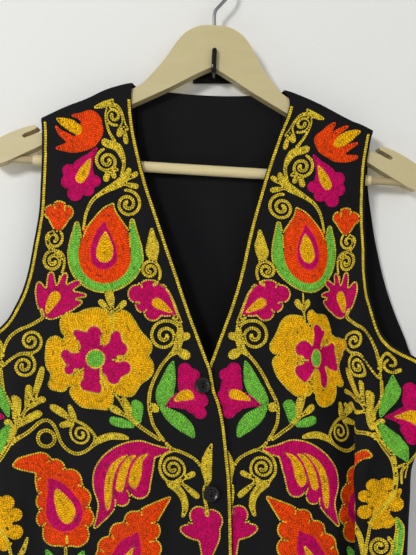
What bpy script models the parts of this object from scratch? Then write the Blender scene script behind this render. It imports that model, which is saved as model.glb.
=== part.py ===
"""Embroidered waistcoat, buttoned, on a flat wooden hanger that rests on a wall hook.

Metres, +Z up. The wall is the plane y = 0 and everything lies in front of it (y < 0).
The origin is the middle of the hook plate's back face. Seen from the front, +X is to the right.
Sizes in the tables are millimetres; MM turns them into metres.
"""

import math
from collections import namedtuple

import bmesh
import bpy
from mathutils import Matrix, Vector

MM = 0.001

# ---- driving dimensions (mm) -------------------------------------------------
SEAM_GAP = 0.3
CLOTH = 1.8
CENTRE_X = -4.0
NECK_Z = -33.4
SHOULDER_SLOPE = 0.437
SHOULDER_CROWN = 3.2
NECK_HALF = 78.0
SHOULDER_HALF = 171.0
GARMENT_TILT = 0.042

HANGER_TILT = math.radians(3.5)
HANGER_THICK = 14.0
HANGER_Y = -18.0
HANGER_HALF = 225.5
HANGER_EDGE = 1.3
WRAP_REACH = HANGER_THICK / 2 + 0.8 + CLOTH
WRAP_RISE = 5.0

BAR_Z = -119.2
BAR_RADIUS = 4.0
BAR_HALF = 211.0
SLEEVE_RADIUS = 5.5
SLEEVE_LEFT = 178.0
SLEEVE_RIGHT = 169.7
BORE_CLEARANCE = 0.3

WIRE_RADIUS = 1.75
WIRE_X = 1.2
WIRE_FOOT_Z = 15.0
WIRE_HOLE_TOP_Z = 40.0
WIRE_SHANK = ((1.2, 30.0), (1.2, 42.0), (2.6, 46.5))
WIRE_LOOP = 19.0
WIRE_LOOP_CENTRE = (-1.5, 70.0)
WIRE_LOOP_START = math.radians(-40)
WIRE_LOOP_TURN = math.radians(208)
WIRE_LOOP_STEPS = 18

ROD_RADIUS = 2.6
ROD_X = 0.6
ROD_TIP_X = 1.4
ROD_Z = -18.9
ROD_FRONT_Y = -29.5
ROD_BEND = 5.0
ROD_TIP_Z = 3.5
# The rod's rounded tip: (height below its very end, share of the full radius).
ROD_DOME = ((2.4, 1.0), (1.3, 0.88), (0.5, 0.6), (0.0, 0.25))
PLATE = (43.0, 4.0, 48.4)
PLATE_EDGE = 0.9

BUTTON_THICK = 3.4
BUTTON_GAP = 0.45
BUTTON_HOLE = 1.0
BUTTON_HOLE_SHIFT = 1.7
BUTTON_PLACES = ((7.5, 303.0), (16.0, 410.0), (18.0, 517.0))

# ---- the cut of one front ----------------------------------------------------
# u runs outwards from the front edge's gold row, d runs down from the neck point.
CutRow = namedtuple("CutRow", "inner_u inner_d outer_u outer_d")
FRONT_CUT = (
    CutRow(78.0, 0.0, 171.0, 40.6),
    CutRow(79.5, 19.0, 170.0, 58.0),
    CutRow(76.0, 51.0, 170.0, 82.0),
    CutRow(65.0, 97.0, 171.0, 109.0),
    CutRow(51.0, 139.0, 172.5, 135.0),
    CutRow(32.5, 192.0, 178.0, 166.0),
    CutRow(19.5, 230.0, 183.5, 195.0),
    CutRow(4.5, 270.0, 193.5, 222.0),
    CutRow(-3.0, 293.0, 212.0, 248.0),
    CutRow(-3.5, 330.0, 264.0, 281.0),
    CutRow(-3.5, 400.0, 271.0, 360.0),
    CutRow(-3.5, 480.0, 271.0, 460.0),
    CutRow(-3.5, 565.0, 272.0, 565.0),
)
UNDERARM_ROW = 9
SIDE_TURN = 26.0
SIDE_PULL = 0.36
SEAM_Y = -17.0
SEAM_SHARE = 0.06

# The back's armhole edge above the underarm: distance from the centre line and drop.
BackRow = namedtuple("BackRow", "u d")
BACK_CUT = (
    BackRow(171.0, 40.6),
    BackRow(169.6, 56.0),
    BackRow(166.4, 86.0),
    BackRow(167.5, 108.0),
    BackRow(170.0, 128.0),
    BackRow(175.0, 161.0),
    BackRow(183.0, 194.0),
    BackRow(193.0, 222.0),
    BackRow(206.0, 251.0),
)
BACK_NECK_SAG = 5.6
BACK_TOP_ROWS = 4
BACK_FLAT_SHARE = 0.12
BACK_OUTER_SHARE = 0.8
BACK_UNDERARM_PUSH = 5.0

# ---- how the cloth hangs: (drop, value) rows ---------------------------------
TILT_FADE = ((0, 1.0), (65, 0.76), (130, 0.5), (170, 0.12), (230, 0.0), (565, 0.0))
FORWARD_HANG = ((0, 0.0), (60, 0.8), (130, 3.0), (220, 8.0), (300, 13.0), (400, 16.0), (565, 17.0))
LAP_SWING = (
    (285, 0.0), (307, 2.0), (322, 7.5), (342, 11.7), (372, 15.0), (400, 17.7), (470, 19.5), (565, 20.5),
)
UNDER_INNER = ((0, 2.0), (15, -2.5), (51, 6.0), (95, 10.0), (143, 7.5), (196, 1.2), (240, 0.0), (565, 0.0))
UNDER_DRAPE = (
    (60, 0.0), (113, 4.0), (149, 10.5), (197, 24.0), (246, 32.0), (280, 33.0), (320, 22.0), (390, 9.0),
    (565, 8.0),
)
PLEAT_HIDDEN = (
    (250, 0.0), (300, 10.0), (345, 31.0), (372, 42.0), (400, 51.0), (430, 53.0), (490, 56.0), (565, 59.0),
)
PLEAT_PLACE = ((300, 172.0), (355, 178.0), (430, 187.0), (565, 189.0))
PLEAT_FORWARD = ((215, 0.0), (300, 9.0), (390, 24.0), (565, 29.0))
VALLEY_DEPTH = ((140, 0.0), (230, 8.0), (300, 12.0), (390, 8.0), (565, 7.0))
OUTER_DROP = (
    (170, 0.0), (246, 12.0), (268, 13.0), (290, 10.0), (335, -4.0), (380, -15.0), (430, -24.0), (480, -28.0),
    (565, -26.0),
)
OUTER_BULGE = ((260, 0.0), (320, 7.0), (370, 6.0), (430, 0.0), (565, 0.0))
BACK_DEPTH = ((0, -8.4), (90, -7.0), (200, -5.0), (565, -4.2))
# How much higher a shoulder lies than the straight cut: (distance from the neck, rise).
LAP_SHOULDER_RISE = ((78, 0.0), (90, 0.8), (106, 2.0), (127, 1.4), (146, 3.0), (171, 3.1))
UNDER_SHOULDER_RISE = (
    (78, -0.6), (98, -1.4), (114, -2.0), (131, -2.0), (147, -0.9), (158, 1.2), (171, 2.2),
)
SHOULDER_RISE_DEPTH = 60.0

PLEAT_HALF_WIDTH = 15.0
VALLEY_FROM_PLEAT = 24.0
VALLEY_WIDTH = 30.0
UNDER_SETBACK = 2.6
# Where a change sets in across or down the cut, and over what width.
Ramp = namedtuple("Ramp", "start width")
SOFT_RAMP = Ramp(30.0, 40.0)
DRAPE_RAMP = Ramp(78.0, 112.0)
OUTER_RAMP = Ramp(183.0, 22.0)
SETBACK_RAMP = Ramp(190.0, 60.0)
FOLD_FADE_IN = 70.0
FOLD_FADE_OUT = 60.0
FOLD_RUN_ON = 1.1

# Soft ridges (+) and troughs (-): where they start and end, width and height.
Fold = namedtuple("Fold", "u_top d_top u_end d_end width height")
OVER_FOLDS = (
    Fold(205, 262, 150, 540, 24, 5.0),
    Fold(168, 300, 186, 565, 20, -4.0),
    Fold(120, 60, 128, 250, 26, 2.5),
    Fold(95, 330, 70, 565, 22, 3.5),
    Fold(226, 330, 215, 565, 18, 4.5),
)
UNDER_FOLDS = (
    Fold(118, 60, 104, 300, 22, 4.0),
    Fold(60, 330, 84, 565, 24, 3.5),
    Fold(112, 400, 118, 565, 16, -3.5),
    Fold(220, 350, 214, 565, 16, -5.0),
)
# The back's folds use x from the centre line and hang towards the hollow.
BACK_FOLDS = (
    Fold(-120, 120, -150, 565, 26, 6.0),
    Fold(-60, 200, -40, 565, 24, 4.0),
    Fold(18, 60, 30, 420, 30, 3.0),
    Fold(96, 150, 84, 565, 22, 6.5),
    Fold(150, 200, 140, 565, 18, 8.0),
)

# Half of the hanger's outline, untilted: (distance from the middle, height).
HANGER_TOP = (
    (0, 28.3), (10, 27.9), (19, 25.6), (30, 18.8), (38.7, 8.0), (45, -3.0), (53, -14.8), (63, -27.2),
    (72, -36.8), (84, -43.4), (98, -48.8), (118, -58.0), (136, -67.4), (150, -75.6), (157, -80.4),
    (161.5, -87.6), (167, -91.0), (176, -93.4), (187.5, -98.2), (189.8, -96.4), (188.4, -94.2),
    (176.6, -88.6), (174.8, -86.4), (177.6, -84.5), (190, -88.4), (203, -94.4), (214, -100.8),
    (222, -108.0), (HANGER_HALF, -116.0), (223.4, -123.6), (217.5, -126.9), (207.0, -124.8),
)
HANGER_UNDER = ((168, -104.0), (120, -78.6), (78, -56.6), (42.4, -38.0), (21, -25.4), (6, -17.2))
HANGER_APEX = (0.6, -14.6)
# A stretch of that outline between these lengths gets a rounding point.
OUTLINE_SMOOTHED = (7.0, 60.0)

# Button section: (radius, height over the cloth side), from the rim's back round to the dish.
BUTTON_PROFILE = (
    (0.0, 0.0), (6.8, 0.0), (8.25, 1.0), (8.25, 2.3), (7.3, BUTTON_THICK), (5.9, 3.1), (4.6, 2.0), (0.0, 1.7),
)

# Rows of the grids that turn over the hanger's arm, as angles round it.
WRAP_ANGLES = (0, 30, 60, 90)


# ---- small tools ------------------------------------------------------------
def ease(t):
    t = min(max(t, 0.0), 1.0)
    return t * t * (3 - 2 * t)


def ramp(value, rise):
    """0 before the ramp's start, 1 past its width, and a soft step between."""
    return ease((value - rise.start) / rise.width)


def bell(distance, width):
    return math.exp(-((distance / width) ** 2))


def hermite(rows, x, pick):
    """Smooth value at x through rows whose first column rises."""
    if x <= rows[0][0]:
        return pick(rows[0])
    for i in range(len(rows) - 1):
        a, b = rows[i], rows[i + 1]
        if x <= b[0]:
            before, after = rows[max(i - 1, 0)], rows[min(i + 2, len(rows) - 1)]
            span = b[0] - a[0]
            slope_a = (pick(b) - pick(before)) / (b[0] - before[0])
            slope_b = (pick(after) - pick(a)) / (after[0] - a[0])
            t = (x - a[0]) / span
            return (
                (2 * t**3 - 3 * t**2 + 1) * pick(a)
                + (t**3 - 2 * t**2 + t) * span * slope_a
                + (3 * t**2 - 2 * t**3) * pick(b)
                + (t**3 - t**2) * span * slope_b
            )
    return pick(rows[-1])


def at(rows, drop):
    return hermite(rows, drop, lambda row: row[1])


def along_cut(cut, t):
    """All columns of a cut table at the fractional row t."""
    numbered = [(i,) + tuple(row) for i, row in enumerate(cut)]
    return [hermite(numbered, t, lambda row, k=k: row[k]) for k in range(1, len(numbered[0]))]


def folds_at(folds, u, d):
    """Sum of the soft folds: each fades in and out and follows its own slanted line."""
    total = 0.0
    for fold in folds:
        t = (d - fold.d_top) / (fold.d_end - fold.d_top)
        middle = fold.u_top + (fold.u_end - fold.u_top) * min(max(t, 0.0), FOLD_RUN_ON)
        inside = ease((d - fold.d_top) / FOLD_FADE_IN) * (1 - ease((d - fold.d_end) / FOLD_FADE_OUT))
        total += fold.height * inside * bell(u - middle, fold.width)
    return total


# ---- how a point of the cut lies in space ------------------------------------
def shoulder_drop(u):
    t = min(max((u - NECK_HALF) / (SHOULDER_HALF - NECK_HALF), 0.0), 1.0)
    return SHOULDER_SLOPE * (u - NECK_HALF) - SHOULDER_CROWN * math.sin(math.pi * math.sqrt(t))


def over_the_arm(q):
    """How far the cloth stands from the seam on the arm's top, q mm below it."""
    if q >= WRAP_RISE:
        return WRAP_REACH
    return WRAP_REACH * math.sqrt(max(0.0, 1 - (1 - max(q, 0.0) / WRAP_RISE) ** 2))


def side_u(d):
    rows = [(row.outer_d, row.outer_u) for row in FRONT_CUT[UNDERARM_ROW:]]
    return at(rows, d)


def front_point(side, u, d):
    """The outer face of a front: side -1 is the lapping one (left), +1 the one under it."""
    q = d - shoulder_drop(u)
    forward = over_the_arm(q) + at(FORWARD_HANG, d)
    turn_from = side_u(d) - SIDE_TURN
    turned = max(0.0, u - turn_from) / SIDE_TURN
    reach = u - SIDE_PULL * SIDE_TURN * turned**2
    rise = UNDER_SHOULDER_RISE if side > 0 else LAP_SHOULDER_RISE
    height = NECK_Z - d + at(rise, u) * (1 - ease(q / SHOULDER_RISE_DEPTH))
    slope = GARMENT_TILT * u * at(TILT_FADE, d)
    soft = ramp(u, SOFT_RAMP)
    if side < 0:
        reach -= at(LAP_SWING, d) if d > LAP_SWING[0][0] else 0.0
        forward += soft * folds_at(OVER_FOLDS, u, d)
        height += slope
    else:
        pleat_u = at(PLEAT_PLACE, d)
        pleat = ease((u - pleat_u + PLEAT_HALF_WIDTH) / (2 * PLEAT_HALF_WIDTH))
        outer = ramp(u, OUTER_RAMP)
        reach -= at(UNDER_INNER, d) + at(UNDER_DRAPE, d) * ramp(u, DRAPE_RAMP)
        reach -= at(PLEAT_HIDDEN, d) * pleat
        forward += soft * folds_at(UNDER_FOLDS, u, d) - UNDER_SETBACK * ramp(d, SETBACK_RAMP)
        forward += at(PLEAT_FORWARD, d) * pleat + at(OUTER_BULGE, d) * outer
        forward -= at(VALLEY_DEPTH, d) * bell(u - pleat_u + VALLEY_FROM_PLEAT, VALLEY_WIDTH)
        height -= slope + at(OUTER_DROP, d) * outer
    y = HANGER_Y - forward
    y += (SEAM_Y - y) * min(turned, 1.0) ** 2
    return Vector((CENTRE_X + side * reach, y, height))


def clustered(count, crowds):
    """count + 1 fractions from 0 to 1, closer together round each crowd's (middle, spread, pull)."""
    steps = 400
    weights = [
        1 + sum(pull * bell((i + 0.5) / steps - middle, spread) for middle, spread, pull in crowds)
        for i in range(steps)
    ]
    total = sum(weights)
    fractions, passed, wanted = [0.0], 0.0, 1
    for i, weight in enumerate(weights):
        while wanted < count and passed + weight >= total * wanted / count:
            fractions.append((i + (total * wanted / count - passed) / weight) / steps)
            wanted += 1
        passed += weight
    return fractions + [1.0]


def front_rows(row_step):
    """(kind, value) of each grid row: the turns over the arm, then places down the cut table."""
    rows = [("wrap", WRAP_RISE * (1 - math.cos(math.radians(angle)))) for angle in WRAP_ANGLES]
    last = len(FRONT_CUT) - 1
    count = round((last - 0.5) / row_step)
    rows += [("cut", 0.5 + (last - 0.5) * i / count) for i in range(count + 1)]
    return rows


def front_cut_point(kind, value, fraction):
    t = value if kind == "cut" else 0.0
    inner_u, inner_d, outer_u, outer_d = along_cut(FRONT_CUT, t)
    u = inner_u + (outer_u - inner_u) * fraction
    d = inner_d + (outer_d - inner_d) * fraction
    crown = shoulder_drop(u) - SHOULDER_SLOPE * (u - NECK_HALF)
    d += crown * max(0.0, 1 - t)
    return u, d + (value if kind == "wrap" else 0.0)


def front_grid(side, columns, row_step):
    return [
        [front_point(side, *front_cut_point(kind, value, fraction)) for fraction in columns]
        for kind, value in front_rows(row_step)
    ]


def seam_points(side, t):
    """The side seam's end of row t, moved back by the seam gap for the back panel."""
    _, _, outer_u, outer_d = along_cut(FRONT_CUT, t)
    return front_point(side, outer_u, outer_d) + Vector((0, 4 * SEAM_GAP, 0))


def back_edge(side, t):
    if t >= UNDERARM_ROW:
        return seam_points(side, t)
    if t > UNDERARM_ROW - 1:
        upper, lower = back_edge(side, UNDERARM_ROW - 1.0), seam_points(side, UNDERARM_ROW)
        return upper.lerp(lower, t - UNDERARM_ROW + 1)
    u, d = along_cut(BACK_CUT, t)
    height = NECK_Z - d - side * GARMENT_TILT * u * at(TILT_FADE, d)
    if side > 0:
        height -= BACK_OUTER_SHARE * at(OUTER_DROP, d)
    y = at(BACK_DEPTH, d) - BACK_UNDERARM_PUSH * ramp(t, Ramp(UNDERARM_ROW - 2.5, 1.5))
    return Vector((CENTRE_X + side * u, y, height))


def back_top(x):
    """Top edge of the back at x from the centre line: shoulder seams, and the neckline between them."""
    side = -1 if x < 0 else 1
    u = abs(x)
    if u >= NECK_HALF:
        point = front_point(side, u, shoulder_drop(u))
        return point.x, HANGER_Y + 2 * SEAM_GAP, point.z
    t = (x + NECK_HALF) / (2 * NECK_HALF)
    ends = [front_point(s, NECK_HALF, 0.0) for s in (-1, 1)]
    sag = BACK_NECK_SAG * (1 - (u / NECK_HALF) ** 2)
    height = ends[0].z + (ends[1].z - ends[0].z) * t - sag
    return ends[0].x + (ends[1].x - ends[0].x) * t, at(BACK_DEPTH, 0), height


def back_point(fraction, t, q):
    """The back's wall side, fraction 0..1 from left to right in row t, q mm below the top row."""
    left, right = back_edge(-1, t), back_edge(1, t)
    flat = left.lerp(right, fraction)
    top_x = SHOULDER_HALF * (2 * fraction - 1)
    x, top_y, top_z = back_top(top_x)
    start = back_edge(-1, 0).lerp(back_edge(1, 0), fraction)
    fade = (1 - min(t / BACK_TOP_ROWS, 1.0)) ** 2
    height = flat.z + (top_z - start.z) * fade - q
    px = flat.x + (x - start.x) * fade
    drop = NECK_Z - height
    depth = at(BACK_DEPTH, drop)
    near_edge = min(fraction, 1 - fraction)
    seam = 1 - math.sqrt(max(0.0, 1 - max(0.0, 1 - near_edge / SEAM_SHARE) ** 2))
    seam *= ease(t - UNDERARM_ROW + 1)
    middle = ease(near_edge / BACK_FLAT_SHARE)
    y = depth - middle * folds_at(BACK_FOLDS, px - CENTRE_X, drop)
    y += (flat.y - y) * seam
    if t == 0.0 and abs(top_x) >= NECK_HALF:
        reach = over_the_arm(q) / WRAP_REACH
        y = top_y + (depth - top_y) * reach
    return Vector((px, y, height))


def back_grid(columns, row_step):
    last = len(FRONT_CUT) - 1
    count = round((last - 0.5) / row_step)
    rows = [(0.0, WRAP_RISE * (1 - math.cos(math.radians(angle)))) for angle in WRAP_ANGLES]
    rows += [(0.5 + (last - 0.5) * i / count, 0.0) for i in range(count + 1)]
    return [[back_point(fraction, t, q) for fraction in columns] for t, q in rows]


# ---- Blender helpers ---------------------------------------------------------
def clear_scene():
    for obj in list(bpy.data.objects):
        bpy.data.objects.remove(obj, do_unlink=True)


def material(name, colour, roughness, metallic=0.0):
    made = bpy.data.materials.new(name)
    made.use_nodes = True
    shader = made.node_tree.nodes["Principled BSDF"]
    shader.inputs["Base Color"].default_value = (*colour, 1)
    shader.inputs["Roughness"].default_value = roughness
    shader.inputs["Metallic"].default_value = metallic
    return made


def collection(name):
    made = bpy.data.collections.new(name)
    bpy.context.scene.collection.children.link(made)
    return made


def add(name, data, group, mat=None):
    obj = bpy.data.objects.new(name, data)
    group.objects.link(obj)
    if mat:
        data.materials.append(mat)
    return obj


def grid_mesh(name, grid, outward_front):
    """A mesh over a grid of points in mm, its faces turned to the front (-Y) or to the wall (+Y)."""
    bm = bmesh.new()
    verts = [[bm.verts.new(point * MM) for point in row] for row in grid]
    for upper, lower in zip(verts, verts[1:]):
        for i in range(len(upper) - 1):
            bm.faces.new((upper[i], lower[i], lower[i + 1], upper[i + 1]))
    bm.normal_update()
    middle = bm.faces[:]
    facing = sum(face.normal.y * face.calc_area() for face in middle)
    if (facing > 0) == outward_front:
        bmesh.ops.reverse_faces(bm, faces=middle)
    mesh = bpy.data.meshes.new(name)
    bm.to_mesh(mesh)
    bm.free()
    return mesh


def cloth(name, grid, outward_front, group, mat):
    obj = add(name, grid_mesh(name, grid, outward_front), group, mat)
    wall = obj.modifiers.new("Wall", "SOLIDIFY")
    wall.thickness = CLOTH * MM
    wall.offset = -1
    obj.data.shade_smooth()
    return obj


def as_mesh(curve_obj, group):
    """Replaces a curve object with its welded mesh."""
    graph = bpy.context.evaluated_depsgraph_get()
    graph.update()
    mesh = bpy.data.meshes.new_from_object(curve_obj.evaluated_get(graph))
    bm = bmesh.new()
    bm.from_mesh(mesh)
    bmesh.ops.remove_doubles(bm, verts=bm.verts, dist=1e-6)
    bmesh.ops.recalc_face_normals(bm, faces=bm.faces)
    bm.to_mesh(mesh)
    bm.free()
    name, matrix = curve_obj.name, curve_obj.matrix_world.copy()
    bpy.data.objects.remove(curve_obj, do_unlink=True)
    obj = add(name, mesh, group)
    obj.matrix_world = matrix
    return obj


def tube(name, points, radius, group, mat, resolution=2, shares=None):
    """A round rod along the points; shares are its radius at each point as a share of the full one."""
    curve = bpy.data.curves.new(name, "CURVE")
    curve.dimensions = "3D"
    curve.bevel_depth = radius * MM
    curve.bevel_resolution = resolution
    curve.use_fill_caps = True
    spline = curve.splines.new("POLY")
    spline.points.add(len(points) - 1)
    for target, point, share in zip(spline.points, points, shares or [1.0] * len(points)):
        target.co = (*(Vector(point) * MM), 1)
        target.radius = share
    return add(name, curve, group, mat)


def cut(obj, cutter):
    cutter.hide_render = True
    cutter.display_type = "WIRE"
    modifier = obj.modifiers.new("Cut " + cutter.name, "BOOLEAN")
    modifier.operation = "DIFFERENCE"
    modifier.object = cutter
    modifier.solver = "EXACT"


def cylinder(name, start, end, radius, segments, group, mat=None):
    start, end = Vector(start), Vector(end)
    bm = bmesh.new()
    bmesh.ops.create_cone(
        bm,
        cap_ends=True,
        segments=segments,
        radius1=radius * MM,
        radius2=radius * MM,
        depth=(end - start).length * MM,
    )
    mesh = bpy.data.meshes.new(name)
    bm.to_mesh(mesh)
    bm.free()
    obj = add(name, mesh, group, mat)
    turn = (end - start).to_track_quat("Z", "Y").to_matrix().to_4x4()
    obj.matrix_world = Matrix.Translation((start + end) / 2 * MM) @ turn
    return obj


def turned(name, profile, steps, closed, group, mat):
    """A profile of (radius, height) in mm turned round its own Z; closed joins its last point to its first."""
    bm = bmesh.new()
    verts = [bm.verts.new((radius * MM, 0, height * MM)) for radius, height in profile]
    for a, b in zip(verts, verts[1:]):
        bm.edges.new((a, b))
    if closed:
        bm.edges.new((verts[-1], verts[0]))
    mesh = bpy.data.meshes.new(name)
    bm.to_mesh(mesh)
    bm.free()
    obj = add(name, mesh, group, mat)
    screw = obj.modifiers.new("Turn", "SCREW")
    screw.steps = screw.render_steps = steps
    screw.use_merge_vertices = True
    screw.merge_threshold = 1e-5
    screw.use_normal_calculate = False
    return obj


# ---- the pieces --------------------------------------------------------------
def fronts(group, mat):
    # Crowds of columns: (share across the front, spread, pull) at the side's turn and at the pleat.
    side, pleat = (1.0, 0.06, 2.5), (0.69, 0.1, 3.6)
    cloth("front_over", front_grid(-1, clustered(20, [side]), 0.42), True, group, mat)
    cloth("front_under", front_grid(1, clustered(27, [pleat, side]), 0.38), True, group, mat)


def back(group, mat):
    """Columns crowd at the side seams and at the neck points, and mirror about the middle."""
    neck = (1 - NECK_HALF / SHOULDER_HALF) / 2
    outer = [0.0, 0.003, 0.01, 0.022, 0.04, SEAM_SHARE, 0.1, 0.143, 0.186, 0.23, neck]
    inner = [neck + 0.012, 0.32, 0.356, 0.392, 0.428, 0.464]
    half = outer + inner
    columns = half + [0.5] + [1 - fraction for fraction in reversed(half)]
    cloth("back", back_grid(columns, 0.45), False, group, mat)


def button(index, u, drop, group, cutters, mat):
    """A dished button with two holes, one above the other, facing out from the lap."""
    seat = front_point(-1, u, drop)
    below = front_point(-1, u, drop + BUTTON_THICK)
    across = front_point(-1, u + BUTTON_THICK, drop)
    normal = (below - seat).cross(across - seat).normalized()
    if normal.y > 0:
        normal = -normal
    x_axis = Vector((0, 0, 1)).cross(normal).normalized()
    y_axis = normal.cross(x_axis)
    frame = Matrix((x_axis, y_axis, normal)).transposed().to_4x4()
    place = Matrix.Translation((seat + normal * BUTTON_GAP) * MM) @ frame
    name = f"button_{index}"
    obj = turned(name, BUTTON_PROFILE[::-1], 20, False, group, mat)
    obj.matrix_world = place
    for hole, shift in (("upper", BUTTON_HOLE_SHIFT), ("lower", -BUTTON_HOLE_SHIFT)):
        start, end = (0, shift, -1), (0, shift, BUTTON_THICK + 1)
        drill = cylinder(f"{name}_{hole}_hole", start, end, BUTTON_HOLE, 10, cutters)
        drill.matrix_world = place @ drill.matrix_world
        cut(obj, drill)


def hanger_matrix():
    """From the hanger's own upright frame to the tilted one: clockwise, about the hook."""
    return Matrix.Rotation(HANGER_TILT, 4, "Y")


def smooth_outline(points, steps):
    """A closed Catmull-Rom line through the points."""
    count = len(points)
    line = []
    for i in range(count):
        p0, p1, p2, p3 = (Vector(points[(i + k) % count]) for k in (-1, 0, 1, 2))
        shortest, longest = OUTLINE_SMOOTHED
        parts = steps if shortest < (p2 - p1).length <= longest else 1
        for k in range(parts):
            t = k / parts
            line.append(
                0.5 * (2 * p1 + (p2 - p0) * t + (2 * p0 - 5 * p1 + 4 * p2 - p3) * t**2
                + (3 * p1 - p0 - 3 * p2 + p3) * t**3)
            )
    return line


def hanger_body(group, cutters, mat):
    right = list(HANGER_TOP) + list(HANGER_UNDER)
    left = [(-x, z) for x, z in right[:0:-1]]
    outline = smooth_outline(right + [HANGER_APEX] + left, 2)
    curve = bpy.data.curves.new("hanger_body", "CURVE")
    curve.dimensions = "2D"
    curve.fill_mode = "BOTH"
    curve.extrude = HANGER_THICK / 2 * MM
    spline = curve.splines.new("POLY")
    spline.points.add(len(outline) - 1)
    spline.use_cyclic_u = True
    for target, point in zip(spline.points, outline):
        target.co = (point.x * MM, point.y * MM, 0, 1)
    flat = add("hanger_body", curve, group)
    stand_up = Matrix.Rotation(math.pi / 2, 4, "X")
    obj = as_mesh(flat, group)
    obj.data.materials.append(mat)
    obj.matrix_world = hanger_matrix() @ Matrix.Translation((0, HANGER_Y * MM, 0)) @ stand_up
    edges = obj.modifiers.new("Sanded edges", "BEVEL")
    edges.width = HANGER_EDGE * MM
    edges.segments = 1
    edges.limit_method = "ANGLE"
    edges.angle_limit = math.radians(50)
    bar_hole = cylinder(
        "bar_hole",
        (-BAR_HALF - BORE_CLEARANCE, HANGER_Y, BAR_Z),
        (BAR_HALF + BORE_CLEARANCE, HANGER_Y, BAR_Z),
        BAR_RADIUS + BORE_CLEARANCE,
        16,
        cutters,
    )
    bar_hole.matrix_world = hanger_matrix() @ bar_hole.matrix_world
    cut(obj, bar_hole)
    foot, top = (WIRE_X, HANGER_Y, WIRE_FOOT_Z - 1), (WIRE_X, HANGER_Y, WIRE_HOLE_TOP_Z)
    cut(obj, cylinder("wire_hole", foot, top, WIRE_RADIUS + BORE_CLEARANCE, 12, cutters))


def trouser_bar(group, mat, sleeve_mat):
    ends = (-BAR_HALF, HANGER_Y, BAR_Z), (BAR_HALF, HANGER_Y, BAR_Z)
    bar = cylinder("trouser_bar", *ends, BAR_RADIUS, 16, group, mat)
    bar.matrix_world = hanger_matrix() @ bar.matrix_world
    bore = BAR_RADIUS + BORE_CLEARANCE
    outside = (SLEEVE_RADIUS, SLEEVE_RIGHT), (SLEEVE_RADIUS, -SLEEVE_LEFT)
    profile = (*outside, (bore, -SLEEVE_LEFT), (bore, SLEEVE_RIGHT))
    sleeve = turned("bar_sleeve", profile, 20, True, group, sleeve_mat)
    lie_down = Matrix.Rotation(math.pi / 2, 4, "Y")
    sleeve.matrix_world = hanger_matrix() @ Matrix.Translation((0, HANGER_Y * MM, BAR_Z * MM)) @ lie_down


def hanger_wire(group, mat):
    """Shank, a lean to the right, then a round hook that comes back over to the left."""
    points = [(WIRE_X, HANGER_Y, WIRE_FOOT_Z)] + [(x, HANGER_Y, z) for x, z in WIRE_SHANK]
    x, z = WIRE_LOOP_CENTRE
    for i in range(WIRE_LOOP_STEPS + 1):
        angle = WIRE_LOOP_START + WIRE_LOOP_TURN * i / WIRE_LOOP_STEPS
        points.append((x + WIRE_LOOP * math.cos(angle), HANGER_Y, z + WIRE_LOOP * math.sin(angle)))
    tube("hanger_wire", points, WIRE_RADIUS, group, mat)


def wall_hook(group, mat):
    """A flat plate with a round rod that runs out under the hanger and turns up in front of it."""
    width, thick, height = PLATE
    bm = bmesh.new()
    bmesh.ops.create_cube(bm, size=1.0)
    bmesh.ops.scale(bm, vec=Vector((width, thick, height)) * MM, verts=bm.verts)
    bmesh.ops.translate(bm, vec=(0, -thick / 2 * MM, 0), verts=bm.verts)
    mesh = bpy.data.meshes.new("hook_plate")
    bm.to_mesh(mesh)
    bm.free()
    plate = add("hook_plate", mesh, group, mat)
    corners = plate.modifiers.new("Eased edges", "BEVEL")
    corners.width = PLATE_EDGE * MM
    corners.segments = 1
    points = [(ROD_X, -thick - SEAM_GAP, ROD_Z), (ROD_X, ROD_FRONT_Y + ROD_BEND, ROD_Z)]
    for angle in (math.radians(step) for step in range(15, 90, 15)):
        back_y, rise = ROD_BEND * (1 - math.sin(angle)), ROD_BEND * (1 - math.cos(angle))
        points.append((ROD_X, ROD_FRONT_Y + back_y, ROD_Z + rise))
    points.append((ROD_X, ROD_FRONT_Y, ROD_Z + ROD_BEND))
    shares = [1.0] * len(points) + [share for _, share in ROD_DOME]
    points += [(ROD_TIP_X, ROD_FRONT_Y, ROD_TIP_Z - below) for below, _ in ROD_DOME]
    tube("hook_rod", points, ROD_RADIUS, group, mat, resolution=3, shares=shares)


def main():
    clear_scene()
    group = collection("waistcoat_on_hanger")
    cutters = collection("cutters")
    black_cloth = material("black cotton cloth", (0.012, 0.012, 0.014), 0.85)
    wood = material("pale plywood", (0.62, 0.54, 0.37), 0.55)
    ribbed = material("ribbed sleeve", (0.66, 0.6, 0.45), 0.5)
    steel = material("steel wire", (0.55, 0.55, 0.55), 0.3, 1.0)
    black_metal = material("black painted metal", (0.01, 0.01, 0.012), 0.3)
    black_plastic = material("black button plastic", (0.015, 0.014, 0.016), 0.25)
    fronts(group, black_cloth)
    back(group, black_cloth)
    for index, (u, drop) in enumerate(BUTTON_PLACES, start=1):
        button(index, u, drop, group, cutters, black_plastic)
    hanger_body(group, cutters, wood)
    trouser_bar(group, wood, ribbed)
    hanger_wire(group, steel)
    wall_hook(group, black_metal)


main()
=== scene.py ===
"""Looks of the embroidered waistcoat on its wooden hanger and wall hook.

Sizes in the tables are millimetres and become metres through MM when a mesh is made.
u runs outwards from the front edge's gold row and d runs down from the neck point, both on the flat cut.
"""

import functools
import math
from collections import namedtuple

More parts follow.
